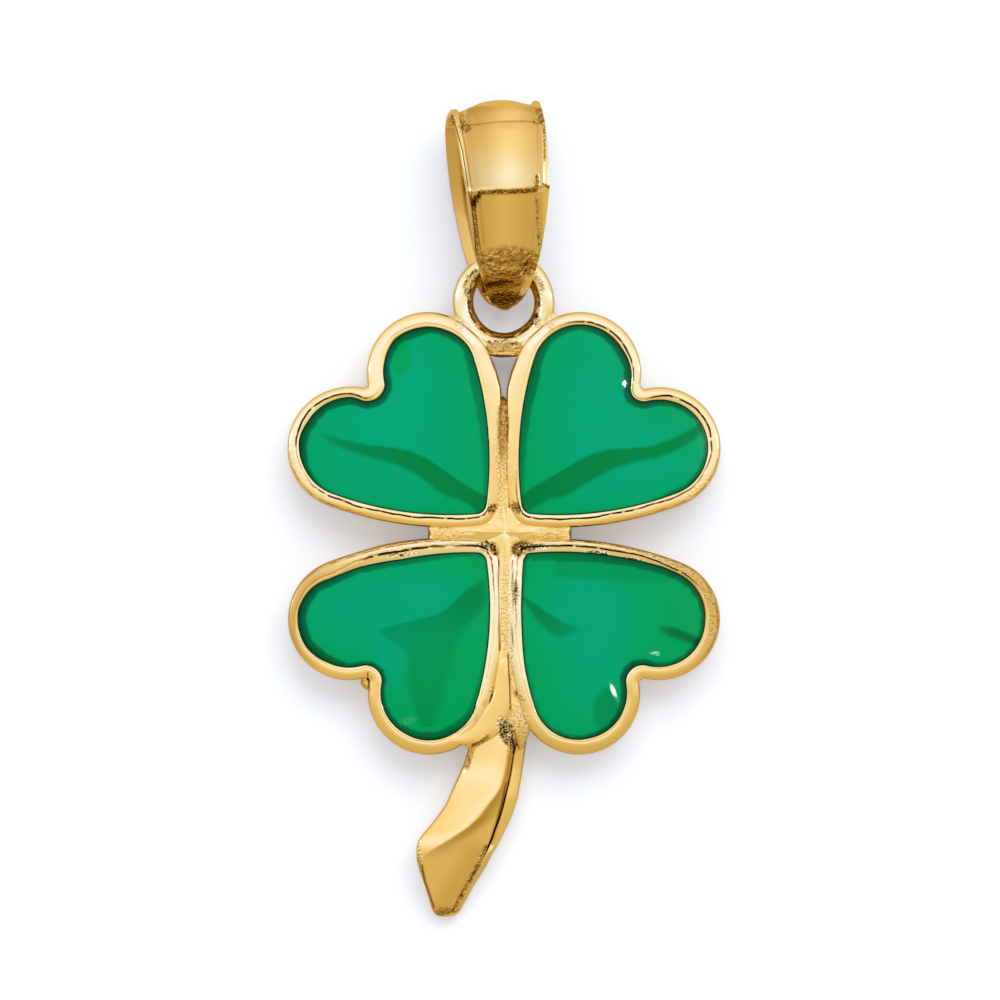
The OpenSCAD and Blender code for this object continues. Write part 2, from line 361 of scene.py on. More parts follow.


# For each leaf, by the share of the way round it from its tip (upper right: lower flank first; upper left: inner flank
# first; lower left: upper flank first; lower right: inner flank first): how far the outer side flares and the lip laps
# over the enamel, the bevel's width, and how much painted shade, crease, painted highlight on the bevel and crest, and
# sand is painted on
leafRims = {
    "UpperRight": {
        "flare": [(0.47, 0), (0.5, 0.05), (0.53, 0), (0.72, 0), (0.75, 0.08), (0.785, 0.15), (0.81, 0.16),
            (0.835, 0.1), (0.87, 0)],
        "lip": [(0.46, 0), (0.48, -0.01), (0.5, -0.03), (0.52, -0.1), (0.545, -0.07), (0.58, 0)],
        "bevel": [(0, 0.1), (0.2, 0.08), (0.3, 0.06), (0.34, 0.08), (0.38, 0.13), (0.44, 0.11), (0.48, 0.05),
            (0.52, 0.05), (0.56, 0.07), (0.64, 0.09), (0.7, 0.05), (0.9, 0.04), (1, 0.08)],
        "crease": [(0, 0.9), (0.15, 1), (0.22, 0.6), (0.3, 0.3), (0.35, 0.7), (0.38, 1), (0.45, 1), (0.48, 0.2),
            (0.52, 0.3), (0.55, 0.9), (0.64, 1), (0.68, 0.3), (0.72, 0), (0.9, 0), (1, 0.5)],
        "bevelHighlight": [(0, 1), (0.2, 0.9), (0.3, 0.7), (0.45, 0.7), (0.5, 0.4), (0.6, 0.6), (0.7, 0.3), (0.85, 0.4),
            (1, 0.6)],
        "crestHighlight": [(0, 0), (0.28, 0.2), (0.33, 0.6), (0.38, 0.35), (0.45, 0.35), (0.6, 0.5), (0.7, 0.5),
            (0.75, 0.2), (1, 0)],
        "sand": [(0, 0.1), (0.2, 0.3), (0.26, 0.8), (0.31, 0.6), (0.35, 0)],
    },
    "UpperLeft": {
        "flare": [(0.13, 0), (0.165, 0.1), (0.19, 0.16), (0.215, 0.15), (0.25, 0.08), (0.28, 0), (0.47, 0),
            (0.51, 0.06), (0.54, 0.02), (0.57, 0)],
        "lip": [(0.27, 0), (0.31, 0.05), (0.36, 0.06), (0.4, 0.03), (0.44, 0.09), (0.48, 0.1), (0.51, 0),
            (0.54, -0.07), (0.58, -0.03), (0.62, 0), (0.65, -0.04), (0.7, 0)],
        "bevel": [(0, 0.07), (0.03, 0.035), (0.2, 0.04), (0.5, 0.06), (0.55, 0.09), (0.6, 0.13), (0.64, 0.11),
            (0.68, 0.05), (0.72, 0.06), (0.76, 0.085), (1, 0.09)],
        "crease": [(0, 0.5), (0.02, 0), (0.5, 0), (0.53, 0.9), (0.6, 1), (0.64, 1), (0.67, 0.2), (0.71, 0.1),
            (0.75, 0.8), (0.97, 1), (1, 0.6)],
        "bevelHighlight": [(0, 0.6), (0.25, 0.5), (0.35, 0.2), (0.5, 0.2), (0.55, 0.7), (0.65, 0.6), (0.75, 0.9)],
        "crestHighlight": [(0, 0), (0.3, 0.3), (0.45, 0.5), (0.58, 0.4), (0.65, 0.7), (0.72, 0.4), (0.8, 0)],
        "sand": [(0.64, 0), (0.7, 0.6), (0.78, 0.6), (0.85, 0)],
    },
    "LowerLeft": {
        "flare": [(0.15, 0.03), (0.2, 0)],
        "lip": [(0, 0), (0.03, 0.02), (0.08, 0.06), (0.13, 0.1), (0.2, 0.06), (0.25, 0.09), (0.28, 0), (0.32, -0.08),
            (0.38, -0.07), (0.42, 0), (0.55, 0), (0.62, 0.05), (0.7, 0.04), (0.75, 0)],
        "bevel": [(0.18, 0.15), (0.24, 0.06), (0.38, 0.05), (0.5, 0.07), (0.56, 0.05), (0.76, 0.045), (0.82, 0.09),
            (1, 0.12)],
        "paintedShade": [(0, 0), (0.2, 0.1), (0.27, 0.55), (0.36, 0.5), (0.42, 0), (0.55, 0.05), (0.7, 0.08), (0.78, 0)],
        "crease": [(0, 1), (0.02, 0.9), (0.05, 0.3), (0.09, 0.9), (0.17, 1), (0.2, 0.2), (0.27, 0), (0.9, 0),
            (1, 0.6)],
        "bevelHighlight": [(0, 0.9), (0.15, 0.8), (0.2, 0.3), (0.25, 0), (0.36, 0), (0.4, 0.6), (0.5, 0.8), (0.6, 0.4),
            (0.7, 0.5), (0.76, 0.6), (0.8, 1)],
        "crestHighlight": [(0, 0.9), (0.15, 0.8), (0.2, 0.3), (0.25, 0), (0.7, 0), (0.78, 0.6), (0.82, 1), (0.95, 1),
            (1, 0.9)],
        "sand": [(0, 0.4), (0.1, 0.6), (0.2, 0.65), (0.25, 0.5), (0.29, 0.2), (0.34, 0.1), (0.4, 0)],
    },
    "LowerRight": {
        "flare": [(0.47, 0), (0.5, 0.05), (0.53, 0)],
        "lip": [(0, 0.04), (0.05, 0.08), (0.12, 0.08), (0.18, 0.04), (0.3, 0.05), (0.36, 0.07), (0.42, 0.03),
            (0.5, 0), (0.6, 0.03), (0.66, 0.06), (0.72, 0), (0.78, -0.06), (0.85, -0.02), (1, 0.02)],
        "bevel": [(0, 0.12), (0.18, 0.1), (0.24, 0.05), (0.44, 0.05), (0.5, 0.07), (0.56, 0.05), (0.76, 0.06),
            (0.82, 0.15)],
        "paintedShade": [(0, 0), (0.2, 0.05), (0.3, 0.15), (0.42, 0.12), (0.5, 0), (0.58, 0.15), (0.66, 0.45), (0.76, 0.4),
            (0.82, 0.1), (1, 0)],
        "crease": [(0.1, 0.3), (0.14, 0), (0.7, 0), (0.74, 0.6), (0.78, 0.9), (0.85, 1)],
        "bevelHighlight": [(0, 0.9), (0.2, 1), (0.24, 0.4), (0.3, 0.1), (0.45, 0.1), (0.5, 0.7), (0.55, 0.3), (0.7, 0.1),
            (0.75, 0.7), (1, 0.9)],
        "crestHighlight": [(0, 0.8), (0.05, 1), (0.2, 1), (0.23, 0.2), (0.3, 0), (0.7, 0), (0.8, 0.5), (1, 0.9)],
        "sand": [(0, 0), (0.6, 0.1), (0.65, 0.9), (0.7, 1), (0.79, 1), (0.85, 0.65), (0.92, 0.5), (1, 0.3)],
    },
}

print("rims")
# The outer side up to the crown as offset and drop from the crown, then the crease and the bevel down to the enamel
rim = {
    "width": 0.32, "bevel": 0.08, "unevenness": 0.03,
    "outer": [(0.32, 0.90), (0.32, 0.32), (0.319, 0.21), (0.315, 0.135), (0.305, 0.08), (0.29, 0.045), (0.273, 0.026),
              (0.262, 0.024), (0.251, 0.016), (0.235, 0.011), (0.2, 0.007)], "groove": 0.262,
    "edge": [(0.05, 0.003, "crest", 0.5), (0.025, 0.006, "crest", 1), (0.008, 0.013, "crease", 1),
             (-0.008, 0.013, "crease", 1), (-0.022, 0.012, "inner", 1)],
    "inner": [(0.7, 0.015), (0.4, 0.019), (0.2, 0.023), (0.04, 0.028), (0, 0.042)],
    "foot": 0.1, "plate": 0.45,
}


def leafCell(bm, name):
    own = {"paintedShade": [(0, 0)], **leafRims[name]}
    cell = bmesh.new()
    heartOutline(cell, 2)
    home, out, share = rememberOutline(cell)
    layers = {key: cell.verts.layers.float.new(key) for key in goldPaints}
    turn = Matrix.Rotation(math.radians(leafTurns[name]), 4, "Z")
    value = lambda key, v: alongRows(own[key], v[share])[0]

    def ringAt(offset, drop, part, uneven=0.0, bevels=0.0):
        # Offsets in the outer part are stretched by the flare, those of the inner bevel moved by the lip
        def place(v):
            lip, flare, depth = value("lip", v), value("flare", v), value("crease", v)
            away = offset + bevels * value("bevel", v)
            outness = max(0.0, away / rim["width"])
            point = v[home] + v[out] * (away + flare * outness - lip * (1 - outness))
            world = turn @ Vector((point.x, point.y, 0))
            point += v[out] * (wobble(world + Vector((3, 5, 7)), 0.4, uneven) + wobble(world, 0.13, uneven * 0.4))
            height = drop if part == "fixed" else crownHeight(world.x, world.y) - drop
            paint = dict.fromkeys(layers, 0.0)
            # The crease is cut a little deeper and painted dark along a broken line: painted shade in the groove
            if part == "crease":
                broken = depth * between(noise.noise(world / 0.13) + 0.5, 0, 0.35)
                height -= 0.035 * broken
                paint["line"] = 0.95 * broken
                paint["pit"] = 0.7 * depth * between(noise.noise(world / 0.3) + 0.1, 0, 0.3)
            # Painted highlight on the bevel and crest, and painted shade where the rim should read darker
            elif part == "inner":
                paint["paintedHighlight"] = value("bevelHighlight", v)
                paint["shade"] = 0.6 * value("paintedShade", v)
            elif part == "crest":
                paint["paintedHighlight"] = value("crestHighlight", v)
                paint["grain"] = 0.25 * value("sand", v)
                paint["shade"] = value("paintedShade", v)
            elif part == "outer":
                sand = value("sand", v)
                paint["grain"] = 0.35 * sand if offset > 0.31 else sand if offset > 0.24 else between(sand, 0.6, 1.0)
                paint["paintedHighlight"] = 0.7 * value("crestHighlight", v) if offset < 0.3 else 0.0
                paint["shade"] = value("paintedShade", v)
                # A dark line painted in the sandy outer groove: painted shade
                if offset == rim["groove"]:
                    paint["line"] = 0.8 * between(sand, 0.1, 0.5) * between(noise.noise(world / 0.2) + 0.3, 0, 0.3)
            # The foot under the bevel painted dark: painted shade
            elif part == "foot":
                paint["line"] = 0.8
            for key, layer in layers.items():
                v[layer] = paint[key]
            return Vector((point.x, point.y, height))
        return place

    ring = cell.edges[:]
    for v in cell.verts:
        v.co = v[home] + v[out] * (rim["width"] - rim["bevel"])
    closeRing(cell, ring)
    ring = nextRing(cell, ring, ringAt(rim["width"], rim["bevel"], "fixed"))
    for offset, drop in rim["outer"]:
        ring = nextRing(cell, ring, ringAt(offset, drop, "outer"))
    uneven = rim["unevenness"]
    for beyond, drop, part, much in rim["edge"]:
        ring = nextRing(cell, ring, ringAt(beyond, drop, part, uneven * much, 1.0))
    for t, drop in rim["inner"]:
        ring = nextRing(cell, ring, ringAt(0.0, drop, "inner", uneven * t, t))
    ring = nextRing(cell, ring, ringAt(0.0, rim["foot"], "foot"))
    ring = nextRing(cell, ring, ringAt(0.0, rim["plate"], "fixed"))
    closeRing(cell, ring)
    bmesh.ops.transform(cell, matrix=turn, verts=cell.verts[:])
    addTo(bm, cell)


def addTo(bm, other):
    # Joins one bmesh into another
    bmesh.ops.recalc_face_normals(other, faces=other.faces[:])
    mesh = bpy.data.meshes.new("part")
    other.to_mesh(mesh)
    other.free()
    bm.from_mesh(mesh)
    bpy.data.meshes.remove(mesh)


def refined(bm, levels):
    # The same form after Catmull-Clark subdivision, its marked creases kept
    mesh = bpy.data.meshes.new("rough")
    bm.to_mesh(mesh)
    bm.free()
    holder = addObject("rough", mesh)
    holder.modifiers.new("smooth", "SUBSURF").levels = levels
    bpy.context.view_layer.update()
    fine = bpy.data.meshes.new_from_object(holder.evaluated_get(bpy.context.evaluated_depsgraph_get()))
    made = bmesh.new()
    made.from_mesh(fine)
    bpy.data.objects.remove(holder)
    bpy.data.meshes.remove(mesh)
    bpy.data.meshes.remove(fine)
    return made


def loft(rows, sharpPlaces=(), sharpRows=(), closed=False):
    # A skin through rows of equally many points; sharpPlaces and sharpRows are creased for the subdivision
    bm = bmesh.new()
    place = bm.verts.layers.int.new("place")
    sharpness = bm.edges.layers.float.new("crease_edge")
    first = [bm.verts.new(p) for p in rows[0]]
    for i, v in enumerate(first):
        v[place] = i
    ring = [bm.edges.new((first[i], first[(i + 1) % len(first)])) for i in range(len(first))]
    start = ring
    if not closed:
        closeRing(bm, ring)
    for k, points in enumerate(rows[1:], 1):
        ring = nextRing(bm, ring, lambda v: Vector(points[v[place]]))
        for e in ring:
            e[sharpness] = 1.0 if k in sharpRows else 0.0
    if closed:
        bmesh.ops.bridge_loops(bm, edges=start + ring)
    else:
        closeRing(bm, ring)
    for e in bm.edges:
        a, b = e.verts
        if a[place] == b[place] and a[place] in sharpPlaces:
            e[sharpness] = 1.0
    bmesh.ops.recalc_face_normals(bm, faces=bm.faces[:])
    return bm


frameShape = bmesh.new()
for name in leafTurns:
    leafCell(frameShape, name)

print("web")
# The bars between the leaves: along, middle across, half width, height of the middle above the base
web = {
    "upright": [(3.52, -0.03, 0.03, 1.05), (3.44, -0.03, 0.09, 1.25), (3.34, -0.03, 0.15, 1.34),
        (3.2, -0.03, 0.165, 1.38), (2.8, -0.03, 0.16, 1.42), (1, -0.03, 0.16, 1.44), (0.5, -0.02, 0.17, 1.44),
        (0, 0.01, 0.18, 1.44), (-0.5, 0.03, 0.18, 1.455), (-1.5, 0.04, 0.17, 1.48), (-2.6, 0.05, 0.18, 1.48),
        (-3.1, 0.06, 0.22, 1.47), (-3.6, 0.08, 0.33, 1.45), (-4.1, 0.12, 0.46, 1.43), (-4.5, 0.24, 0.5, 1.41),
        (-4.9, 0.33, 0.41, 1.38), (-5.1, 0.37, 0.29, 1.31), (-5.3, 0.4, 0.18, 1.22), (-5.5, 0.42, 0.07, 1.09),
        (-5.62, 0.42, 0.02, 0.98)],
    "level": [(-1.97, -0.02, 0.26, 1.3), (-1.8, -0.01, 0.26, 1.33), (-1.2, 0.01, 0.26, 1.37),
        (-0.5, 0.03, 0.28, 1.415), (0, 0.03, 0.29, 1.435), (0.5, 0.03, 0.28, 1.415), (1.1, 0.01, 0.26, 1.37),
        (1.6, -0.01, 0.26, 1.33), (1.75, -0.02, 0.26, 1.3)],
    "pad": [(0.66, 0, 0.2, 1.42), (0.56, 0, 0.3, 1.424), (0.44, 0, 0.42, 1.425), (0.2, 0, 0.5, 1.425),
        (-0.2, 0, 0.5, 1.425), (-0.44, 0.01, 0.42, 1.425), (-0.56, 0.02, 0.3, 1.424), (-0.66, 0.03, 0.2, 1.42)],
    "steps": 60, "peak": 0.03, "peakFrom": 0.75, "peakRise": 0.7, "bow": 0.09, "bowLength": 0.35,
    "waviness": 0.35, "unevenness": 0.02,
}


def webBar(bm, stations, upright):
    rows = []
    ordered = sorted(stations)
    low, high, end = ordered[0][0], ordered[-1][0], web["bowLength"]
    for i in range(web["steps"] + 1):
        along = low + (high - low) * i / web["steps"]
        middle, half, top = alongRows(ordered, along)
        peak = web["peak"] * between(web["peakFrom"] - abs(along), 0, web["peakRise"])
        section = [(-1, -1.0), (1, -1.0), (1, -0.14), (0.93, -0.07), (0.8, -0.035), (0.5, -0.012), (0.2, 0.0),
                   (0.06, peak), (-0.06, peak), (-0.2, 0.0), (-0.5, -0.012), (-0.8, -0.035),
                   (-0.93, -0.07), (-1, -0.14)]
        row = []
        for x, z in section:
            bow = 0.0
            if not upright:
                atEnd = between(low + end - along, 0, end) - between(along, high - end, high)
                bow = web["bow"] * (1 - abs(x)) * atEnd
            place = (middle + x * half, along + bow) if upright else (along + bow, middle + x * half)
            row.append((*place, top + z + wobble((*place, 2.0 * x), web["waviness"], web["unevenness"])))
        rows.append(row)
    addTo(bm, refined(loft(rows), 1))


webBar(frameShape, web["upright"], True)
webBar(frameShape, web["level"], False)
webBar(frameShape, web["pad"], True)

print("stem")
# Rows down the stem: height up the picture, then across it the left side, the ridge, the crevice and the right side,
# the heights of the left side, the ridge, the crevice's edge and the flange, and how deep the crevice is
stem = {
    "rows": [(-4.9, -0.2, 0.2, 0.34, 0.5, 1.25, 1.36, 1.2, 1.12, 0),
        (-5.05, -0.5, 0.2, 0.36, 0.6, 1.22, 1.38, 1.19, 1.09, 0),
        (-5.18, -0.72, 0.18, 0.35, 0.6, 1.18, 1.385, 1.17, 1.05, 0),
        (-5.44, -0.9, 0.12, 0.27, 0.56, 1.1, 1.385, 1.14, 1, 0.02),
        (-5.82, -0.99, 0.07, 0.2, 0.51, 1.04, 1.39, 1.12, 0.95, 0.04),
        (-6.13, -1.12, 0.02, 0.165, 0.47, 1.01, 1.39, 1.11, 0.93, 0.07),
        (-6.49, -1.29, -0.07, 0.08, 0.41, 1.03, 1.4, 1.1, 0.92, 0.13),
        (-6.77, -1.41, -0.24, 0.01, 0.37, 1.06, 1.41, 1.1, 0.92, 0.2),
        (-7, -1.51, -0.42, -0.04, 0.29, 1.09, 1.4, 1.09, 0.9, 0.2),
        (-7.26, -1.71, -0.6, -0.12, 0.21, 1.11, 1.39, 1.07, 0.88, 0.2),
        (-7.49, -1.88, -0.85, -0.21, 0.1, 1.13, 1.37, 1.04, 0.86, 0.2),
        (-7.64, -2.01, -1.05, -0.27, 0.03, 1.15, 1.36, 1.02, 0.85, 0.2),
        (-7.82, -2.17, -1.32, -0.32, -0.06, 1.16, 1.33, 1, 0.84, 0.18),
        (-8, -2.24, -1.62, -0.4, -0.15, 1.16, 1.3, 0.96, 0.82, 0.14),
        (-8.15, -2.25, -1.88, -0.46, -0.24, 1.15, 1.25, 0.93, 0.86, 0.03),
        (-8.33, -2.25, -2.08, -0.53, -0.35, 1.11, 1.19, 0.89, 0.84, 0),
        (-8.54, -2.21, -2.1, -0.62, -0.44, 1.05, 1.12, 0.84, 0.79, 0),
        (-8.9, -2.08, -1.98, -0.9, -0.68, 0.92, 0.98, 0.76, 0.71, 0),
        (-9.28, -1.96, -1.87, -1.13, -0.9, 0.79, 0.85, 0.68, 0.63, 0),
        (-9.64, -1.86, -1.77, -1.3, -1.08, 0.66, 0.73, 0.6, 0.55, 0),
        (-9.86, -1.76, -1.68, -1.38, -1.22, 0.48, 0.54, 0.46, 0.42, 0)],
    "valley": [(-8.35, 0), (-8.1, 0.2), (-7.85, 0.5), (-7.5, 0.75), (-7, 0.7), (-6, 0.5), (-5.5, 0.4), (-5.2, 0)],
    "creviceWidth": 0.02, "lip": 0.05, "valleyAbove": 1,
}


def stemSection(row):
    y, left, ridge, gap, right, leftTop, ridgeTop, edgeTop, flangeTop, crevice = row
    width = ridge - left
    slope = gap - ridge
    lip = min(stem["lip"], width * 0.4)
    xz = [(left + 0.04, 0.0), (right - 0.04, 0.0), (right, 0.06), (right, flangeTop * 0.75),
          (right - 0.02, flangeTop * 0.93), (right - 0.06, flangeTop),
          (gap + stem["creviceWidth"] + 0.03, flangeTop + 0.03), (gap + stem["creviceWidth"], flangeTop + 0.01),
          (gap + 0.015, min(flangeTop, edgeTop) - crevice), (gap, edgeTop - 0.05), (gap - 0.03, edgeTop),
          (ridge + slope * 0.5, edgeTop + (ridgeTop - edgeTop) * 0.52),
          (ridge + min(0.15, slope * 0.25), ridgeTop - 0.025), (ridge, ridgeTop),
          (ridge - width * 0.15, ridgeTop - 0.012), (ridge - width * 0.5, ridgeTop - (ridgeTop - leftTop) * 0.42),
          (left + lip, leftTop + (ridgeTop - leftTop) * 0.12),
          (left + 0.012, leftTop - 0.03), (left, leftTop - 0.15), (left, 0.06)]
    return [(x, y, z) for x, z in xz]


addTo(frameShape, refined(loft([stemSection(r) for r in stem["rows"]], sharpPlaces=(8,)), 3))
stemRidge = sorted((r[0], r[2]) for r in stem["rows"])

# The stem's root: a smooth flat blade that widens down from the web and runs left into the lower left rim
root = {
    "rows": [  # middle, half width, height over the crown
        ((0, -3), 0.05, 0), ((-0.01, -3.4), 0.12, 0.008), ((-0.03, -3.9), 0.18, 0.01), ((-0.07, -4.3), 0.24, 0.01),
        ((-0.19, -4.65), 0.33, 0.01), ((-0.42, -4.95), 0.36, 0.008), ((-0.72, -5.13), 0.28, 0.004),
        ((-1, -5.22), 0.2, 0.004), ((-1.3, -5.29), 0.12, 0.003), ((-1.65, -5.36), 0.05, -0.005)],
}


def hornRows():
    centres = [Vector((*r[0], 0)) for r in root["rows"]]
    rows = []
    for i, (centre, half, top) in enumerate(root["rows"]):
        way = (centres[min(i + 1, len(centres) - 1)] - centres[max(i - 1, 0)]).normalized()
        across = Vector((-way.y, way.x, 0))
        high = crownHeight(*centre) + top
        section = [(-1, 0.3), (1, 0.3), (1, high - 0.10), (0.97, high - 0.03), (0.85, high - 0.008), (0.3, high),
                   (-0.3, high), (-0.85, high - 0.004), (-0.97, high - 0.02), (-1, high - 0.10)]
        rows.append([centres[i] + across * x * half + Vector((0, 0, z)) for x, z in section])
    return rows


addTo(frameShape, refined(loft(hornRows()), 2))

print("ring")
# Half of the ring's section: distance from the hole's middle and height, from the hole over the top to the outside
ringSettings = {
    "middle": (-0.005, 5.915),
    "section": [(0.80, 0.70), (0.775, 0.78), (0.77, 0.88), (0.785, 0.97), (0.82, 1.03), (0.86, 1.07), (0.895, 1.095),
                (0.91, 1.092), (0.925, 1.115), (0.96, 1.14), (1.02, 1.158), (1.09, 1.165), (1.16, 1.155), (1.215, 1.13),
                (1.265, 1.09), (1.295, 1.02), (1.305, 0.92), (1.29, 0.80), (1.24, 0.72), (1.12, 0.68), (0.95, 0.67)],
    "waviness": 0.5, "unevenness": 0.02, "slimmer": 0.008,
    "bridge": {"at": (0.02, 4.76), "half": (0.45, 0.14), "low": 0.57, "high": 1.13, "round": 0.06,
               "lumpsAbove": 0.9, "lumpSize": 0.16, "lumps": 0.1},
    # Painted bands by the distance from the hole's middle: where each starts to fade and has faded
    "above": 0.8, "from": 4.75, "outside": 1.36, "hole": (0.775, 0.79), "shade": (0.885, 0.9), "pit": (0.88, 0.9),
    "grain": (0.92, 1.06), "crumple": (0.88, 0.92), "lineAt": 0.908, "line": (0.008, 0.022),
    # The bright ring round the hole and the outer ring are painted highlights
    "paintedHighlightAt": 0.975, "worn": (0.035, 0.06), "outer": (1.02, 1.08),
}


def ringShape():
    bm = bmesh.new()
    s = ringSettings
    points = [bm.verts.new((s["middle"][0] + r, s["middle"][1], z)) for r, z in s["section"]]
    for a, b in zip(points, points[1:] + points[:1]):
        bm.edges.new((a, b))
    bmesh.ops.spin(bm, geom=bm.verts[:] + bm.edges[:], cent=(*s["middle"], 0), axis=(0, 0, 1), angle=2 * math.pi,
                   steps=180, use_merge=True)
    bmesh.ops.recalc_face_normals(bm, faces=bm.faces[:])
    bm.normal_update()
    for v in bm.verts:
        v.co += v.normal * (wobble(v.co, s["waviness"], s["unevenness"]) - s["slimmer"])
    return bm


def bridgeShape():
    bm = bmesh.new()
    b = ringSettings["bridge"]
    bmesh.ops.create_cube(bm, size=1.0)
    bmesh.ops.scale(bm, verts=bm.verts[:], vec=(2 * b["half"][0], 2 * b["half"][1], b["high"] - b["low"]))
    bmesh.ops.translate(bm, verts=bm.verts[:], vec=(*b["at"], (b["high"] + b["low"]) / 2))
    bmesh.ops.bevel(bm, geom=bm.edges[:], offset=b["round"], segments=3, profile=0.5, affect="EDGES", material=-1)
    bmesh.ops.subdivide_edges(bm, edges=bm.edges[:], cuts=5, use_grid_fill=True)
    for v in bm.verts:
        v.co.z += wobble(v.co, b["lumpSize"], b["lumps"]) if v.co.z > b["lumpsAbove"] else 0
    return bm


addTo(frameShape, ringShape())
addTo(frameShape, bridgeShape())


def solderLump(bm, middle, reach, turn):
    # An uneven blob of solder or of casting skin, flattened onto what it joins
    lump = bmesh.new()
    bmesh.ops.create_icosphere(lump, subdivisions=4, radius=1.0)
    for v in lump.verts:
        v.co *= 1 + wobble(v.co * 1.7 + Vector(middle), 0.8, 0.1)
    place = Matrix.Translation(middle) @ Matrix.Rotation(math.radians(turn), 4, "Z") @ Matrix.Diagonal((*reach, 1))
    bmesh.ops.transform(lump, matrix=place, verts=lump.verts[:])
    addTo(bm, lump)


lumps = [
    ((-1.13, 5.38, 1.0), (0.15, 0.24, 0.14), 25), ((1.17, 5.42, 1.0), (0.15, 0.25, 0.14), -25),
    ((0.05, 4.86, 1.15), (0.12, 0.1, 0.08), 0), ((0.0, 4.6, 1.0), (0.45, 0.1, 0.25), 0),
    ((0.08, -5.08, 1.30), (0.17, 0.40, 0.11), 25), ((-0.78, -5.34, 1.0), (0.12, 0.26, 0.2), -55),
    ((-3.52, -3.85, 1.12), (0.13, 0.19, 0.24), 34),
]
for middle, reach, turn in lumps:
    solderLump(frameShape, middle, reach, turn)

# Painted places on the metal: middle, reach across and up, turn in degrees, amount; the shade places are painted shade
# in pockets, corners and hollows, the highlight places painted highlights
spots = {
    "grain": [(-0.03, 2.2, 0.16, 1.3, 0, 0.8), (-0.03, 0.9, 0.14, 0.5, 0, 0.45), (-1.45, -0.02, 0.5, 0.2, 0, 0.55),
        (1.25, -0.02, 0.5, 0.2, 0, 0.55), (0.04, -1.9, 0.14, 1.3, 0, 0.5), (0.16, -3.4, 0.07, 0.5, 0, 0.7),
        (0, 4.72, 0.55, 0.22, 0, 0.8), (0.42, -4.95, 0.26, 0.6, 12, 0.75), (-1.15, 5.36, 0.12, 0.2, 20, 0.6),
        (1.2, 5.38, 0.12, 0.2, -20, 0.6), (-1.5, -9.74, 0.45, 0.17, 0, 0.9), (-2.19, -8.25, 0.08, 0.4, 0, 0.7),
        (-3.55, -3.92, 0.12, 0.22, 34, 0.9), (0.12, -6, 0.06, 0.7, 0, 0.6)],
    "pit": [(-0.3, 0.63, 0.1, 0.15, -35, 1), (0.31, 0.64, 0.11, 0.17, 35, 1), (-0.27, -0.4, 0.1, 0.19, 25, 1),
        (-0.48, -0.3, 0.26, 0.09, 6, 0.9), (0.34, -0.42, 0.15, 0.21, 10, 1), (0.85, -0.32, 0.35, 0.06, -4, 0.9),
        (0.3, -1.52, 0.08, 0.33, 0, 0.8), (-0.32, -4, 0.05, 0.08, -30, 0.6), (0.35, -4.12, 0.16, 0.03, -30, 0.8),
        (0.58, -0.34, 0.27, 0.12, -10, 1), (0.07, -5.1, 0.2, 0.42, 22, 1), (-0.27, 4.9, 0.16, 0.03, 0, 1),
        (0.27, 4.86, 0.13, 0.03, 0, 1), (2.4, -0.5, 0.35, 0.05, -8, 0.9), (3.3, -0.68, 0.3, 0.06, -12, 0.9),
        (-2.6, -0.55, 0.4, 0.05, 4, 0.9), (-0.05, 2.6, 0.12, 0.8, 0, 0.25), (-1.5, -9.77, 0.35, 0.08, 0, 0.5),
        (-0.62, 6, 0.12, 0.25, 30, 0.6), (0.75, 5.5, 0.15, 0.3, 40, 0.5)],
    "shade": [(-0.03, 2.7, 0.16, 0.9, 0, 0.3), (-3.55, -3.92, 0.12, 0.2, 34, 0.3), (-1.5, -9.77, 0.5, 0.15, 0, 0.4),
        (-0.3, 0.63, 0.12, 0.17, -35, 0.5), (0.31, 0.64, 0.13, 0.19, 35, 0.5), (-0.27, -0.4, 0.12, 0.2, 25, 0.5),
        (0.45, -0.38, 0.3, 0.2, 10, 0.45)],
    "crumple": [(-0.03, 2.75, 0.15, 0.75, 0, 0.55), (-1.45, -9.75, 0.5, 0.15, 0, 0.7),
        (-2.12, -8.6, 0.07, 0.4, 12, 0.5), (0.45, -0.4, 0.28, 0.2, 10, 0.6), (-0.38, -0.36, 0.2, 0.16, 10, 0.5),
        (0.06, -5.1, 0.2, 0.4, 22, 0.6), (0, 4.78, 0.45, 0.14, 0, 0.5)],
    "paintedHighlight": [(0.05, -0.04, 0.11, 0.11, 0, 0.9), (0, -0.06, 0.6, 0.03, 0, 0.7), (0.07, -5.1, 0.2, 0.42, 22, 0.6),
        (0.45, -4.9, 0.2, 0.5, 12, 0.3)],
}
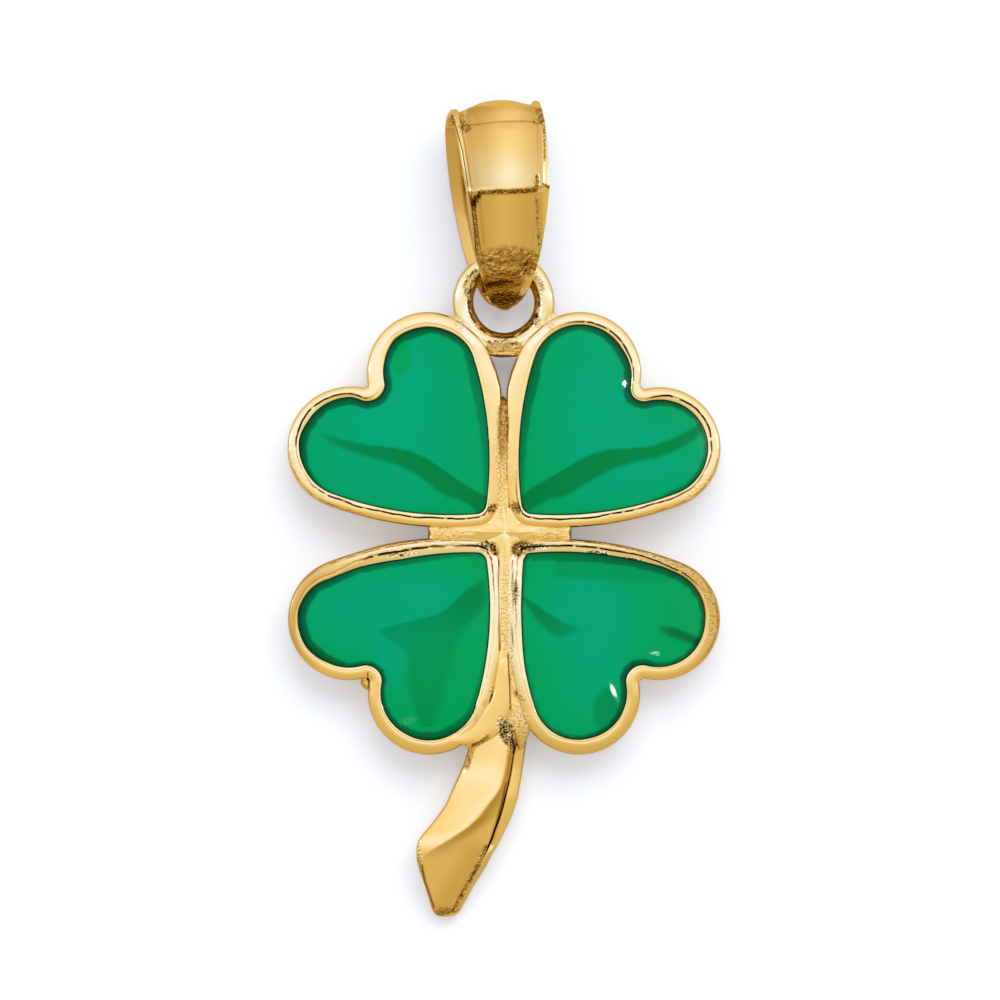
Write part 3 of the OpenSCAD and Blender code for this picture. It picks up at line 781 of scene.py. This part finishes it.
# Painted lines: points, half width, amount
flankLine = [(-0.47, -8.05), (-0.66, -8.5), (-0.92, -9), (-1.25, -9.6)]
flankBand = [(-0.47, -8.05), (-0.66, -8.5), (-1.25, -9.6)]
rootLine = [(-0.45, -5.24), (-0.8, -5.47), (-0.95, -6)]
lines = {
    "grain": [([(-2.2, -8.1), (-2.14, -8.6), (-2, -9.3), (-1.8, -9.75)], 0.05, 0.8), (rootLine, 0.07, 1),
        (flankBand, 0.07, 0.8)],
    "shade": [([(-2.14, -8.5), (-2.02, -8.95), (-1.8, -9.6)], 0.05, 0.6),
        ([(-1.05, -5), (-0.75, -4.75), (-0.45, -4.3)], 0.02, 0.5),
        ([(-0.65, -8.4), (-0.95, -8.9), (-1.4, -9.6)], 0.42, 0.32), (flankBand, 0.05, 0.5),
        ([(0.22, -5.5), (0.13, -6.1), (-0.02, -6.8), (-0.17, -7.4), (-0.34, -7.95)], 0.06, 0.7),
        ([(-0.4, -5.22), (-0.8, -5.47), (-0.95, -6)], 0.05, 0.4)],
    "crumple": [(flankLine, 0.06, 0.8), (rootLine, 0.06, 0.5)],
    "pit": [(flankLine, 0.04, 0.5), ([(-0.74, 6.74), (-0.93, 6.55), (-1, 6.3), (-0.96, 6.1)], 0.035, 1),
        ([(0.78, 6.62), (0.93, 6.42), (1, 6.22)], 0.035, 1)],
    "paintedHighlight": [([(-0.36, -8.1), (-0.53, -8.5), (-0.78, -9), (-1.14, -9.65)], 0.035, 0.5)],
    "line": [([(-0.15, -0.7), (-0.13, -1.8), (-0.12, -3)], 0.018, 0.5),
        ([(0.21, -0.7), (0.22, -1.8), (0.21, -3)], 0.018, 0.5),
        ([(0.1, -3.1), (0.14, -3.9), (0.17, -4.5)], 0.016, 0.7),
        ([(0.22, -3.95), (0.33, -4.2), (0.55, -4.3)], 0.018, 0.4),
        ([(0.2, -5.25), (0.27, -5.5), (0.24, -5.62)], 0.03, 0.9),
        ([(0.05, -6.4), (-0.05, -6.9), (-0.19, -7.45), (-0.3, -7.8), (-0.42, -8.05)], 0.022, 0.6),
        ([(-0.38, -5.19), (-0.62, -5.33), (-0.8, -5.42)], 0.02, 0.5),
        ([(-2.1, -8.5), (-2.04, -8.9), (-1.9, -9.3), (-1.8, -9.6)], 0.015, 0.6),
        ([(-3.49, -3.59), (-3.46, -3.95)], 0.015, 0.6)],
}


# A spot counts this near its middle and fades over these shares of its reach, a stroke over these of its half width
brush = {"near": (1.7, 2.0), "spotFade": (0.75, 1.15), "strokeFade": (0.4, 1.6)}


def spotAmount(places, x, y):
    most = 0.0
    for cx, cy, rx, ry, turn, amount in places:
        if abs(x - cx) > brush["near"][0] or abs(y - cy) > brush["near"][1]:
            continue
        t = math.radians(turn)
        u = ((x - cx) * math.cos(t) + (y - cy) * math.sin(t)) / rx
        w = (-(x - cx) * math.sin(t) + (y - cy) * math.cos(t)) / ry
        most = max(most, amount * (1 - between(math.hypot(u, w), *brush["spotFade"])))
    return most


def lineAmount(strokes, x, y):
    most = 0.0
    for points, half, amount in strokes:
        full, reach = [half * part for part in brush["strokeFade"]]
        for (ax, ay), (bx, by) in zip(points, points[1:]):
            if not (min(ax, bx) - reach < x < max(ax, bx) + reach and min(ay, by) - reach < y < max(ay, by) + reach):
                continue
            dx, dy = bx - ax, by - ay
            t = min(1.0, max(0.0, ((x - ax) * dx + (y - ay) * dy) / (dx * dx + dy * dy)))
            away = math.hypot(x - ax - dx * t, y - ay - dy * t)
            most = max(most, amount * (1 - between(away, full, reach)))
    return most


def valleyAmount(x, y):
    # The soft shadow right of the stem's ridge, sharper where it begins
    if not stem["valley"][0][0] <= y <= stem["valley"][-1][0]:
        return 0.0
    away = 0.8 * (x - alongRows(stemRidge, y)[0])
    return alongRows(stem["valley"], y)[0] * between(away, -0.05, 0.02) * (1 - between(away, 0.05, 0.40))


def painter(key, places, strokes, low):
    def paint(v, already):
        if v.co.z < low:
            return already
        most = max(spotAmount(places.get(key, []), v.co.x, v.co.y), lineAmount(strokes.get(key, []), v.co.x, v.co.y))
        return max(already, most)
    return paint


def finishPiece(bm, name, material, node, paint, sharp=35):
    # Millimetres to metres, the named attributes painted on, then the piece takes the place of its solid
    bmesh.ops.recalc_face_normals(bm, faces=bm.faces[:])
    for attribute, function in paint.items():
        layer = bm.verts.layers.float.get(attribute) or bm.verts.layers.float.new(attribute)
        for v in bm.verts:
            v[layer] = function(v, v[layer])
    for f in bm.faces:
        f.smooth = True
    for e in bm.edges:
        e.smooth = not (len(e.link_faces) == 2 and e.calc_face_angle(0) > math.radians(sharp))
    bmesh.ops.scale(bm, vec=(mm, mm, mm), verts=bm.verts[:])
    mesh = bpy.data.meshes.new(name)
    bm.to_mesh(mesh)
    bm.free()
    mesh.materials.append(material)
    piece = addObject(name, mesh)
    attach(piece, "root")
    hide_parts(node)
    print(name, len(mesh.polygons), "faces")
    return piece


def framePainter(key):
    paint = painter(key, spots, lines, 0.5)
    s = ringSettings
    middle = Vector(s["middle"])

    def ringBands(v, already):
        # Painted shade on the granular slope round the hole and a dark line at its edge, a dark broken line, then a
        # bright ring and the outside painted as highlights
        away = (v.co.xy - middle).length
        if v.co.y < stem["valley"][-1][0] and key == "shade" and v.co.z > stem["valleyAbove"]:
            return max(paint(v, already), valleyAmount(v.co.x, v.co.y))
        if v.co.y < s["from"] or away > s["outside"] or v.co.z < s["above"]:
            return paint(v, already)
        rough = noise.noise(v.co / 0.12)
        bands = {
            "shade": 0.9 * (1 - between(away, *s["shade"])),
            "line": 0.75 * (1 - between(away, *s["hole"]))
                    + 0.95 * (1 - between(abs(away - s["lineAt"]), *s["line"])) * between(rough + 0.3, 0, 0.3),
            "pit": 0.35 * (1 - between(away, *s["pit"])) * between(rough + 0.05, 0, 0.4),
            "grain": 0.4 * (1 - between(away, *s["grain"])),
            "crumple": 0.5 * (1 - between(away, *s["crumple"])),
            "paintedHighlight": 1 - between(abs(away - s["paintedHighlightAt"]), *s["worn"]) + 0.75 * between(away, *s["outer"]),
        }
        return max(paint(v, already), min(1.0, bands[key]))
    return ringBands


finishPiece(frameShape, "cloverFrame", gold, "clover_frame",
            {key: framePainter(key) for key in goldPaints})

print("enamel")
# The green of each leaf: cool places as middle, reach and amount; dark bands of painted reflection as rows along x or y
# with both edges; the painted shadow of the rim along the border by the share of the way round, as its width and how
# dark it is
pour = {
    "drop": 0.075, "rise": 0.04, "shoulder": 0.3, "gap": 0.004, "rings": 56, "spread": 1.5, "reach": 0.985,
    "base": 0.47, "brim": 1, "smoothing": (-0.16, -0.08, 0, 0.08, 0.16),
    "bandWaver": (0.25, 0.025), "borderWaver": (0.16, 0.03),
    "blisters": [(2.995, 3.82, 0.1, 0.11, 0.029, 0), (2.736, -4.1, 0.095, 0.27, 0.043, 0.3)],
    "UpperLeft": {
        "cool": [(-3, 2.6, 2.3, 2.2, 1), (-2.7, 4.3, 1, 1, 0.7)],
        "bandsAcross": [[(-4.75, 2.6, 2.52, 0), (-4.6, 2.56, 2.38, 0.5), (-4.1, 2.41, 2.14, 0.8),
            (-3.6, 2.27, 1.98, 0.9), (-3.1, 2.21, 1.85, 0.95), (-2.6, 2.15, 1.68, 1), (-2.2, 2.03, 1.48, 1),
            (-1.9, 1.87, 1.27, 1), (-1.6, 1.66, 0.98, 1), (-1.3, 1.44, 0.88, 1.05), (-0.95, 1.22, 0.8, 1.1),
            (-0.7, 1.07, 0.48, 1.15), (-0.4, 0.9, 0.3, 1.2)]],
        "warm": [(-2.62, 4.47, 0.27, 0.48, -10, 0.9)], "soft": 0.05,
        "border": [(0, 0.05, 0.5), (0.04, 0.12, 0.45), (0.1, 0.2, 0.5), (0.2, 0.27, 0.6), (0.26, 0.2, 0.8),
            (0.32, 0.17, 1), (0.37, 0.24, 1), (0.44, 0.17, 1), (0.5, 0.2, 1), (0.6, 0.21, 1), (0.66, 0.22, 1),
            (0.72, 0.1, 0.8), (0.77, 0.04, 0.4)],
    },
    "UpperRight": {
        "cool": [(2.3, 3.2, 1.3, 2.4, 1), (3.9, 1.9, 1.7, 1.2, 0.8)],
        "bandsAcross": [[(0.35, 0.9, 0.4, 1.2), (0.75, 1.17, 0.62, 1.15), (1.09, 1.38, 0.86, 1.1),
            (1.6, 1.68, 0.95, 1), (2.1, 1.98, 1.26, 1), (2.62, 2.13, 1.56, 1), (3.21, 2.17, 1.78, 0.95),
            (3.89, 2.26, 1.92, 0.95), (4.4, 2.45, 2.08, 1), (4.87, 2.7, 2.38, 1), (5.04, 2.83, 2.57, 1),
            (5.2, 2.95, 2.7, 0.8)]],
        "soft": 0.05,
        "border": [(0.2, 0.05, 0.4), (0.24, 0.12, 0.8), (0.36, 0.1, 0.8), (0.42, 0.14, 0.9), (0.5, 0.2, 1),
            (0.6, 0.2, 1), (0.66, 0.15, 0.9), (0.72, 0.2, 0.8), (0.8, 0.28, 0.8), (0.9, 0.2, 0.6), (1, 0.06, 0.4)],
    },
    "LowerLeft": {
        "cool": [(-3.6, -1.9, 1.9, 1.3, 0.9), (-1.9, -1.7, 1, 0.6, 1), (-2.9, -3.2, 0.5, 0.8, 0.8)],
        "bandsUp": [[(-4.95, -2.15, -1.8, 0.6), (-4.44, -2.34, -1.59, 0.55), (-4, -2.47, -1.5, 0.45),
            (-3.67, -2.52, -1.44, 0.4), (-3.08, -2.51, -1.28, 0.4), (-2.82, -2.77, -1.2, 0.45),
            (-2.67, -3.03, -1.13, 0.5), (-2.49, -3.6, -1.03, 0.55), (-2.33, -2.85, -0.92, 0.6),
            (-2.23, -2.1, -0.82, 0.65), (-2.05, -1.62, -0.62, 0.75), (-1.92, -1.46, -0.51, 0.85),
            (-1.67, -1.21, -0.46, 1), (-1.36, -0.9, -0.44, 0.9), (-1.15, -0.49, -0.43, 0.6)]],
        "spots": [(-0.55, -0.75, 0.3, 0.2, 0, 0.3)], "soft": 0.14, "scratchesAndSheen": [(-2.5, -4.82, 0.3, 0.08, 15, 0.07)],
        "border": [(0, 0.1, 0.5), (0.1, 0.17, 0.7), (0.2, 0.17, 0.8), (0.26, 0.2, 1), (0.32, 0.24, 1), (0.4, 0.24, 1),
            (0.46, 0.12, 0.9), (0.56, 0.12, 0.9), (0.62, 0.18, 0.9), (0.7, 0.25, 0.9), (0.78, 0.12, 0.5),
            (0.85, 0.06, 0.4)],
    },
    "LowerRight": {
        "cool": [(2.1, -1.9, 1.2, 0.9, 1.2), (2.3, -3.4, 1, 1.6, 0.8)],
        "bandsAcross": [[(0.35, -1.53, -1.58, 1.1), (0.45, -1.58, -1.66, 1.1), (0.66, -1.7, -2, 1),
            (1, -1.95, -2.38, 0.9), (1.25, -2.12, -2.63, 0.8), (1.5, -2.26, -2.66, 0.75), (1.75, -2.37, -2.56, 0.6),
            (2.1, -2.43, -2.5, 0)], [(3.98, -2.34, -2.48, 0.5), (4.12, -2.36, -2.6, 1.3), (4.3, -2.41, -2.66, 1.4),
            (4.56, -2.49, -2.75, 1.45), (4.9, -2.63, -2.91, 1.45), (5.2, -2.78, -3.05, 1.45)]],
        "spots": [(2.62, -4.55, 0.34, 0.6, 0, 0.6), (3, -0.9, 2.4, 0.35, 0, 0.35)],
        "soft": 0.06, "scratchesAndSheen": [(3.88, -3.08, 0.16, 0.045, -12, 1)],
        "border": [(0, 0.12, 0.6), (0.1, 0.06, 0.4), (0.25, 0.1, 0.5), (0.36, 0.12, 0.9), (0.42, 0.14, 1),
            (0.5, 0.18, 1), (0.56, 0.12, 0.8), (0.64, 0.12, 0.8), (0.7, 0.15, 1), (0.78, 0.2, 0.9), (0.86, 0.22, 0.8),
            (0.94, 0.25, 0.7), (1, 0.2, 0.6)],
    },
}
enamelNodes = {"UpperLeft": "enamel_upper_left", "UpperRight": "enamel_upper_right",
               "LowerLeft": "enamel_lower_left", "LowerRight": "enamel_lower_right"}


def enamelPiece(name):
    s = pour
    own = {"bandsAcross": [], "bandsUp": [], "spots": [], "warm": [], "scratchesAndSheen": [], **pour[name]}
    bm = bmesh.new()
    heartOutline(bm, 1.3)
    home, out, share = rememberOutline(bm)
    turn = Matrix.Rotation(math.radians(leafTurns[name]), 4, "Z")
    reach = heart["lobeAt"] + heart["lobeRadius"]
    middle = Vector(((heart["tipAt"] + reach) / 2, 0, 0))
    inside = lambda v: v[home] - v[out] * (s["gap"] + alongRows(leafRims[name]["lip"], v[share])[0])
    for v in bm.verts:
        v.co = inside(v) + Vector((0, 0, s["base"]))
    ring = bm.edges[:]
    closeRing(bm, ring)
    ring = nextRing(bm, ring, lambda v: inside(v) + Vector((0, 0, s["brim"])))
    border = [(turn @ v.co, v[share]) for e in ring for v in e.verts]
    for k in range(1, s["rings"] + 1):
        t = (k / s["rings"]) ** s["spread"] * s["reach"]
        ring = nextRing(bm, ring, lambda v: inside(v).lerp(middle, t) + Vector((0, 0, s["brim"])))
    closeRing(bm, ring)
    bmesh.ops.transform(bm, matrix=turn, verts=bm.verts[:])
    rimShadowLayer = bm.verts.layers.float.new("edge")
    tree = KDTree(len(border))
    for i, (place, _) in enumerate(border):
        tree.insert((place.x, place.y, 0), i)
    tree.balance()

    def bandAt(v, already):
        x, y = v.co.x, v.co.y
        most, soft = 0.0, own["soft"]

        def smoothRows(rows, at):
            # The rows' corners rounded off by averaging a little to both sides
            steps = [alongRows(rows, at + d) for d in s["smoothing"]]
            return [sum(values) / len(steps) for values in zip(*steps)]

        waver = wobble(v.co, *s["bandWaver"])
        for rows in own["bandsAcross"]:
            if rows[0][0] <= x <= rows[-1][0]:
                top, bottom, amount = smoothRows(rows, x)
                most = max(most, amount * between(top - y + waver, -0.04, soft)
                           * between(y - bottom + waver, -0.08, soft + 0.04))
        for rows in own["bandsUp"]:
            if rows[0][0] <= y <= rows[-1][0]:
                left, right, amount = smoothRows(rows, y)
                most = max(most, amount * between(x - left, -soft * 0.5, soft) * between(right - x, -soft, soft * 1.2))
        return max(most, spotAmount(own["spots"], x, y))

    for v in bm.verts:
        if v.co.z < 0.5:
            continue
        _, nearest, away = tree.find((v.co.x, v.co.y, 0))
        v.co.z = crownHeight(v.co.x, v.co.y) - s["drop"] + s["rise"] * (1 - math.exp(-away / s["shoulder"]))
        for cx, cy, rx, ry, high, lean in s["blisters"]:
            x, y = v.co.x - cx, v.co.y - cy
            v.co.z += high * math.exp(-((x + lean * y) / rx) ** 2 - (y / ry) ** 2)
        # Painted shadow of the rim along the border, a thin dark line painted right at the metal, and more where the
        # painted dark reflections are strongest
        width, dark = alongRows(own["border"], border[nearest][1])
        ragged = away + wobble(v.co, *s["borderWaver"])
        step = 0.72 * (1 - between(ragged, width - 0.04, width + 0.03)) + 0.28 * (1 - between(ragged, 0, width * 0.8))
        v[rimShadowLayer] = min(1.0, dark * step + 0.9 * (1 - between(away, 0.012, 0.04)) + 0.8 * max(0.0, bandAt(v, 0) - 1))

    def coolAt(v, already):
        total = 0.0
        for cx, cy, rx, ry, amount in own["cool"]:
            total += amount * math.exp(-((v.co.x - cx) / rx) ** 2 - ((v.co.y - cy) / ry) ** 2)
        return max(0.0, min(1.0, total) - spotAmount(own["warm"], v.co.x, v.co.y))

    def scratchesAndSheenAt(v, already):
        # Faint light scratches and a painted soft smear of light
        return spotAmount(own["scratchesAndSheen"], v.co.x, v.co.y) * between(noise.noise(v.co / 0.06) + 0.25, 0.1, 0.5)

    piece = finishPiece(bm, "enamel" + name, enamel, enamelNodes[name],
                        {"band": bandAt, "cool": coolAt, "scratchesAndSheen": scratchesAndSheenAt}, sharp=60)
    glassPieces.objects.link(piece)


for name in leafTurns:
    enamelPiece(name)

print("bail")
# Rows of the outer skin from the tip up the back, over the top and down the front: along, height, half width, wall,
# where the panel begins and ends across, and where its left groove is
bail = {
    "tip": (0.06, 5.72, 0.92), "lean": 4.8, "yaw": 10,
    "rows": [(-0.03, -0.06, 0.27, 0.3, -0.7, 0.6, -0.87, 0.04), (0.08, -0.4, 0.39, 0.3, -0.7, 0.6, -0.87, 0.04),
        (0.36, -0.64, 0.5, 0.28, -0.7, 0.6, -0.87, 0.04), (0.85, -0.74, 0.68, 0.26, -0.6, 0.7, -0.84, 0.03),
        (1.29, -0.76, 0.82, 0.26, -0.6, 0.7, -0.84, 0.03), (2, -0.76, 0.94, 0.26, -0.6, 0.7, -0.84, 0.03),
        (2.93, -0.74, 1.06, 0.26, -0.6, 0.7, -0.84, 0.03), (3.75, -0.63, 1.12, 0.26, -0.6, 0.7, -0.84, 0.03),
        (4.5, -0.49, 1.15, 0.26, -0.6, 0.7, -0.84, 0.04), (4.91, -0.28, 1.15, 0.28, -0.6, 0.7, -0.84, 0.07),
        (5.12, 0.04, 1.14, 0.3, -0.6, 0.7, -0.84, 0.11), (5.21, 0.46, 1.13, 0.32, -0.6, 0.7, -0.84, 0.135),
        (5.228, 0.8, 1.13, 0.32, -0.6, 0.7, -0.84, 0.142), (5.19, 1.03, 1.13, 0.32, -0.6, 0.7, -0.84, 0.14),
        (5.07, 1.21, 1.14, 0.32, -0.6, 0.7, -0.84, 0.11), (4.88, 1.35, 1.15, 0.32, -0.58, 0.7, -0.84, 0.07),
        (4.66, 1.47, 1.16, 0.32, -0.56, 0.7, -0.84, 0.055), (4.45, 1.555, 1.155, 0.34, -0.55, 0.7, -0.84, 0.05),
        (4.1, 1.65, 1.14, 0.34, -0.55, 0.7, -0.84, 0.05), (3.7, 1.73, 1.12, 0.36, -0.55, 0.7, -0.84, 0.05),
        (3.3, 1.775, 1.09, 0.38, -0.56, 0.69, -0.84, 0.05), (3.03, 1.785, 1.08, 0.4, -0.6, 0.68, -0.85, 0.045),
        (2.87, 1.7, 1.07, 0.38, -0.74, 0.62, -0.87, 0.045), (2.1, 1.36, 0.98, 0.36, -0.76, 0.58, -0.88, 0.04),
        (1.35, 1.02, 0.85, 0.34, -0.74, 0.56, -0.88, 0.04), (0.85, 0.72, 0.7, 0.34, -0.7, 0.56, -0.87, 0.04),
        (0.48, 0.45, 0.58, 0.34, -0.68, 0.58, -0.86, 0.03), (0.16, 0.18, 0.42, 0.32, -0.68, 0.6, -0.86, 0.03)],
    "sharpRows": (16, 21, 22), "groove": 0.1, "tipWorn": 0.12,
    # Where the front's panels lie, how dark painted shade makes them to the sides of a lighter middle, and the upper
    # one's painted highlight
    "frontAbove": 1, "panelMiddle": 0.02, "panelSides": (0.93, 1.02),
    "panels": [{"from": 8.8, "to": 10.9, "dark": 0.6, "paleAt": 0.14, "paleReach": 0.55},
               {"from": 7.2, "to": 8.7, "dark": 0.35, "paleAt": 0, "paleReach": 0.4}],
    "brightFrom": 8.75, "brightAt": (0.1, 9.3), "brightReach": 0.38, "bright": 0.35,
    # Painted shade on the inside of the bail
    "inside": [(8.2, 0.45), (6.4, 0.3)],  # how dark it is above a height
}


def bailShape():
    rows = []
    line = [Vector((r[0], r[1])) for r in bail["rows"]]
    count = len(line)
    for k, (along, high, half, wall, left, right, grooveAt, c) in enumerate(bail["rows"]):
        way = (line[(k + 1) % count] - line[k - 1]).normalized()
        outwards = Vector((way.y, -way.x))
        g = bail["groove"] * max(0.15, between(along, 0.1, 0.9))
        worn = bail["tipWorn"] * (1 - between(along, 0.0, 0.4))
        e = 0.5 * max(0.0, c - 0.05)
        section = [(-1, 0.16), (-0.6, wall), (0.6, wall), (1, 0.16), (1, 0.04 - e), (0.985, 0.005 - e), (0.93, -e),
                   (right + 0.21, 0.01 - e), (right + 0.17, g * 0.45), (right + 0.08, g * 0.45), (right + 0.03, 0.025),
                   (right - 0.02, 0.01), (right * 0.55, -c * 0.75), (0.05, -c), (left * 0.5, -c * 0.8),
                   (left + 0.08, -0.005), (left, 0.015), (left - 0.06, 0.045),
                   (grooveAt + 0.03, g), (grooveAt, g), (grooveAt - 0.04, 0.03),
                   (grooveAt - 0.06, 0.012), (grooveAt - 0.08, 0.03), (-0.97, 0.0), (-1, 0.04)]
        rows.append([(x * half, *(line[k] - outwards * (depth + worn * x * x))) for x, depth in section])
    bm = loft(rows, sharpPlaces=(0, 3, 8, 9, 18, 19), sharpRows=bail["sharpRows"], closed=True)
    bm = refined(bm, 3)
    turn = (Matrix.Translation(bail["tip"]) @ Matrix.Rotation(math.radians(bail["lean"]), 4, "Z")
            @ Matrix.Rotation(math.radians(bail["yaw"]), 4, "Y"))
    bmesh.ops.transform(bm, matrix=turn, verts=bm.verts[:])
    return bm


bailSpots = {
    "grain": [(0.88, 8, 0.07, 1.05, 3, 0.8), (-0.73, 7.8, 0.08, 1.1, 4, 0.8), (0.1, 6.95, 0.9, 0.35, 0, 0.5),
        (0, 6.3, 0.7, 0.3, 0, 0.4), (0.98, 10.75, 0.16, 0.3, 0, 0.6), (-1.15, 10.55, 0.2, 0.35, 0, 0.5)],
    "pit": [(-0.7, 8.52, 0.09, 0.24, -32, 1), (0.83, 8.95, 0.07, 0.2, 0, 0.7), (-0.13, 6.38, 0.44, 0.09, 8, 1),
        (0, 6, 0.42, 0.2, 0, 0.9), (0.86, 7.95, 0.04, 0.95, 3, 0.3), (-0.72, 7.6, 0.05, 0.9, 3, 0.4),
        (-0.95, 10.35, 0.12, 0.16, 0, 0.6), (0.95, 10.6, 0.1, 0.2, 0, 0.5)],
    "crumple": [(0.18, 6.9, 0.95, 0.42, 0, 1), (-0.1, 6.4, 0.6, 0.25, 8, 0.7), (-0.72, 8.5, 0.1, 0.26, -32, 0.8),
        (0.94, 10.66, 0.2, 0.3, -20, 0.9), (-1, 10.45, 0.16, 0.3, 10, 0.7), (0.86, 7.95, 0.05, 0.95, 3, 0.5),
        (-0.74, 7.6, 0.06, 0.95, 3, 0.2)],
    "shade": [(0, 6, 0.5, 0.25, 0, 1), (-0.1, 6.4, 0.6, 0.3, 8, 0.8), (0.1, 6.95, 0.95, 0.4, 0, 0.5),
        (-0.7, 8.5, 0.09, 0.24, -32, 0.9)],
    "line": [(0.05, 6.4, 0.55, 0.28, 5, 0.22), (0.35, 6.95, 0.3, 0.16, 0, 0.25), (-0.15, 6.4, 0.38, 0.055, 8, 0.8),
        (0, 6, 0.4, 0.14, 0, 0.5), (-0.72, 8.5, 0.045, 0.2, -32, 0.8)],
}
crossGroove = [(-0.58, 8.68), (-0.2, 8.69), (0.4, 8.71), (0.78, 8.75)]
sideGroove = [(1, 8.9), (1.27, 8.74)]
bailLines = {
    "pit": [(crossGroove, 0.05, 1), ([(1, 10.5), (1.03, 10.2), (1.04, 9.5)], 0.03, 0.9)],
    "crumple": [(crossGroove, 0.06, 0.8)],
    "shade": [(crossGroove, 0.065, 0.9), ([(0.84, 10.45), (0.87, 8.9)], 0.03, 0.6), (sideGroove, 0.04, 0.8),
        ([(-0.9, 10.34), (0.8, 10.42)], 0.1, 0.2), ([(-0.88, 10.3), (-0.82, 9.6), (-0.74, 8.9)], 0.16, 0.6),
        ([(-0.62, 8.5), (-0.52, 7.4)], 0.06, 0.5), ([(0.78, 8.5), (0.76, 7.4)], 0.05, 0.4)],
    "line": [([(-0.9, 10.4), (-0.15, 10.49), (0.5, 10.51), (0.84, 10.48)], 0.018, 0.35), (sideGroove, 0.02, 0.6),
        ([(-1.33, 10.69), (-1.19, 10.23), (-1.06, 9.73), (-0.98, 9.23), (-0.915, 8.77), (-0.81, 8.23), (-0.75, 7.72),
        (-0.71, 7.1)], 0.014, 0.6)],
    "paintedHighlight": [([(1.06, 10.4), (1.22, 9)], 0.05, 0.45), ([(0.86, 8.9), (0.84, 7.1)], 0.05, 0.3),
        ([(-1.38, 10.6), (-1.12, 9.73), (-0.97, 8.77), (-0.8, 7.72), (-0.75, 7.1)], 0.035, 0.9),
        ([(-1.26, 10.6), (-1, 9.73), (-0.86, 8.77), (-0.71, 7.72)], 0.03, 0.5)],
}


def bailPainter(key):
    paint = painter(key, bailSpots, bailLines, 1.0)
    s = bail

    def shaded(v, already):
        # Painted shading: the panel darkens softly to its sides and is lightest in the middle, a painted highlight
        # brightens the upper panel, and painted shade darkens the inside
        x, y, amount = v.co.x, v.co.y, paint(v, already)
        inPanel = 1 - between(abs(x - s["panelMiddle"]), *s["panelSides"])
        if key == "shade" and v.co.z < s["frontAbove"] and y > s["inside"][-1][0]:
            return max(amount, next(dark for above, dark in s["inside"] if y > above))
        for panel in s["panels"]:
            if key == "shade" and panel["from"] < y < panel["to"]:
                across = (x - panel["paleAt"]) / panel["paleReach"]
                amount = max(amount, panel["dark"] * inPanel * (1 - math.exp(-across ** 2)))
        if key == "paintedHighlight" and y > s["brightFrom"] and v.co.z > s["frontAbove"]:
            dx, dy = [(c - at) / s["brightReach"] for c, at in zip((x, y), s["brightAt"])]
            amount = max(amount, s["bright"] * inPanel * math.exp(-dx ** 2 - dy ** 2))
        return amount
    return shaded


finishPiece(bailShape(), "bailBand", gold, "bail",
            {key: bailPainter(key) for key in goldPaints})
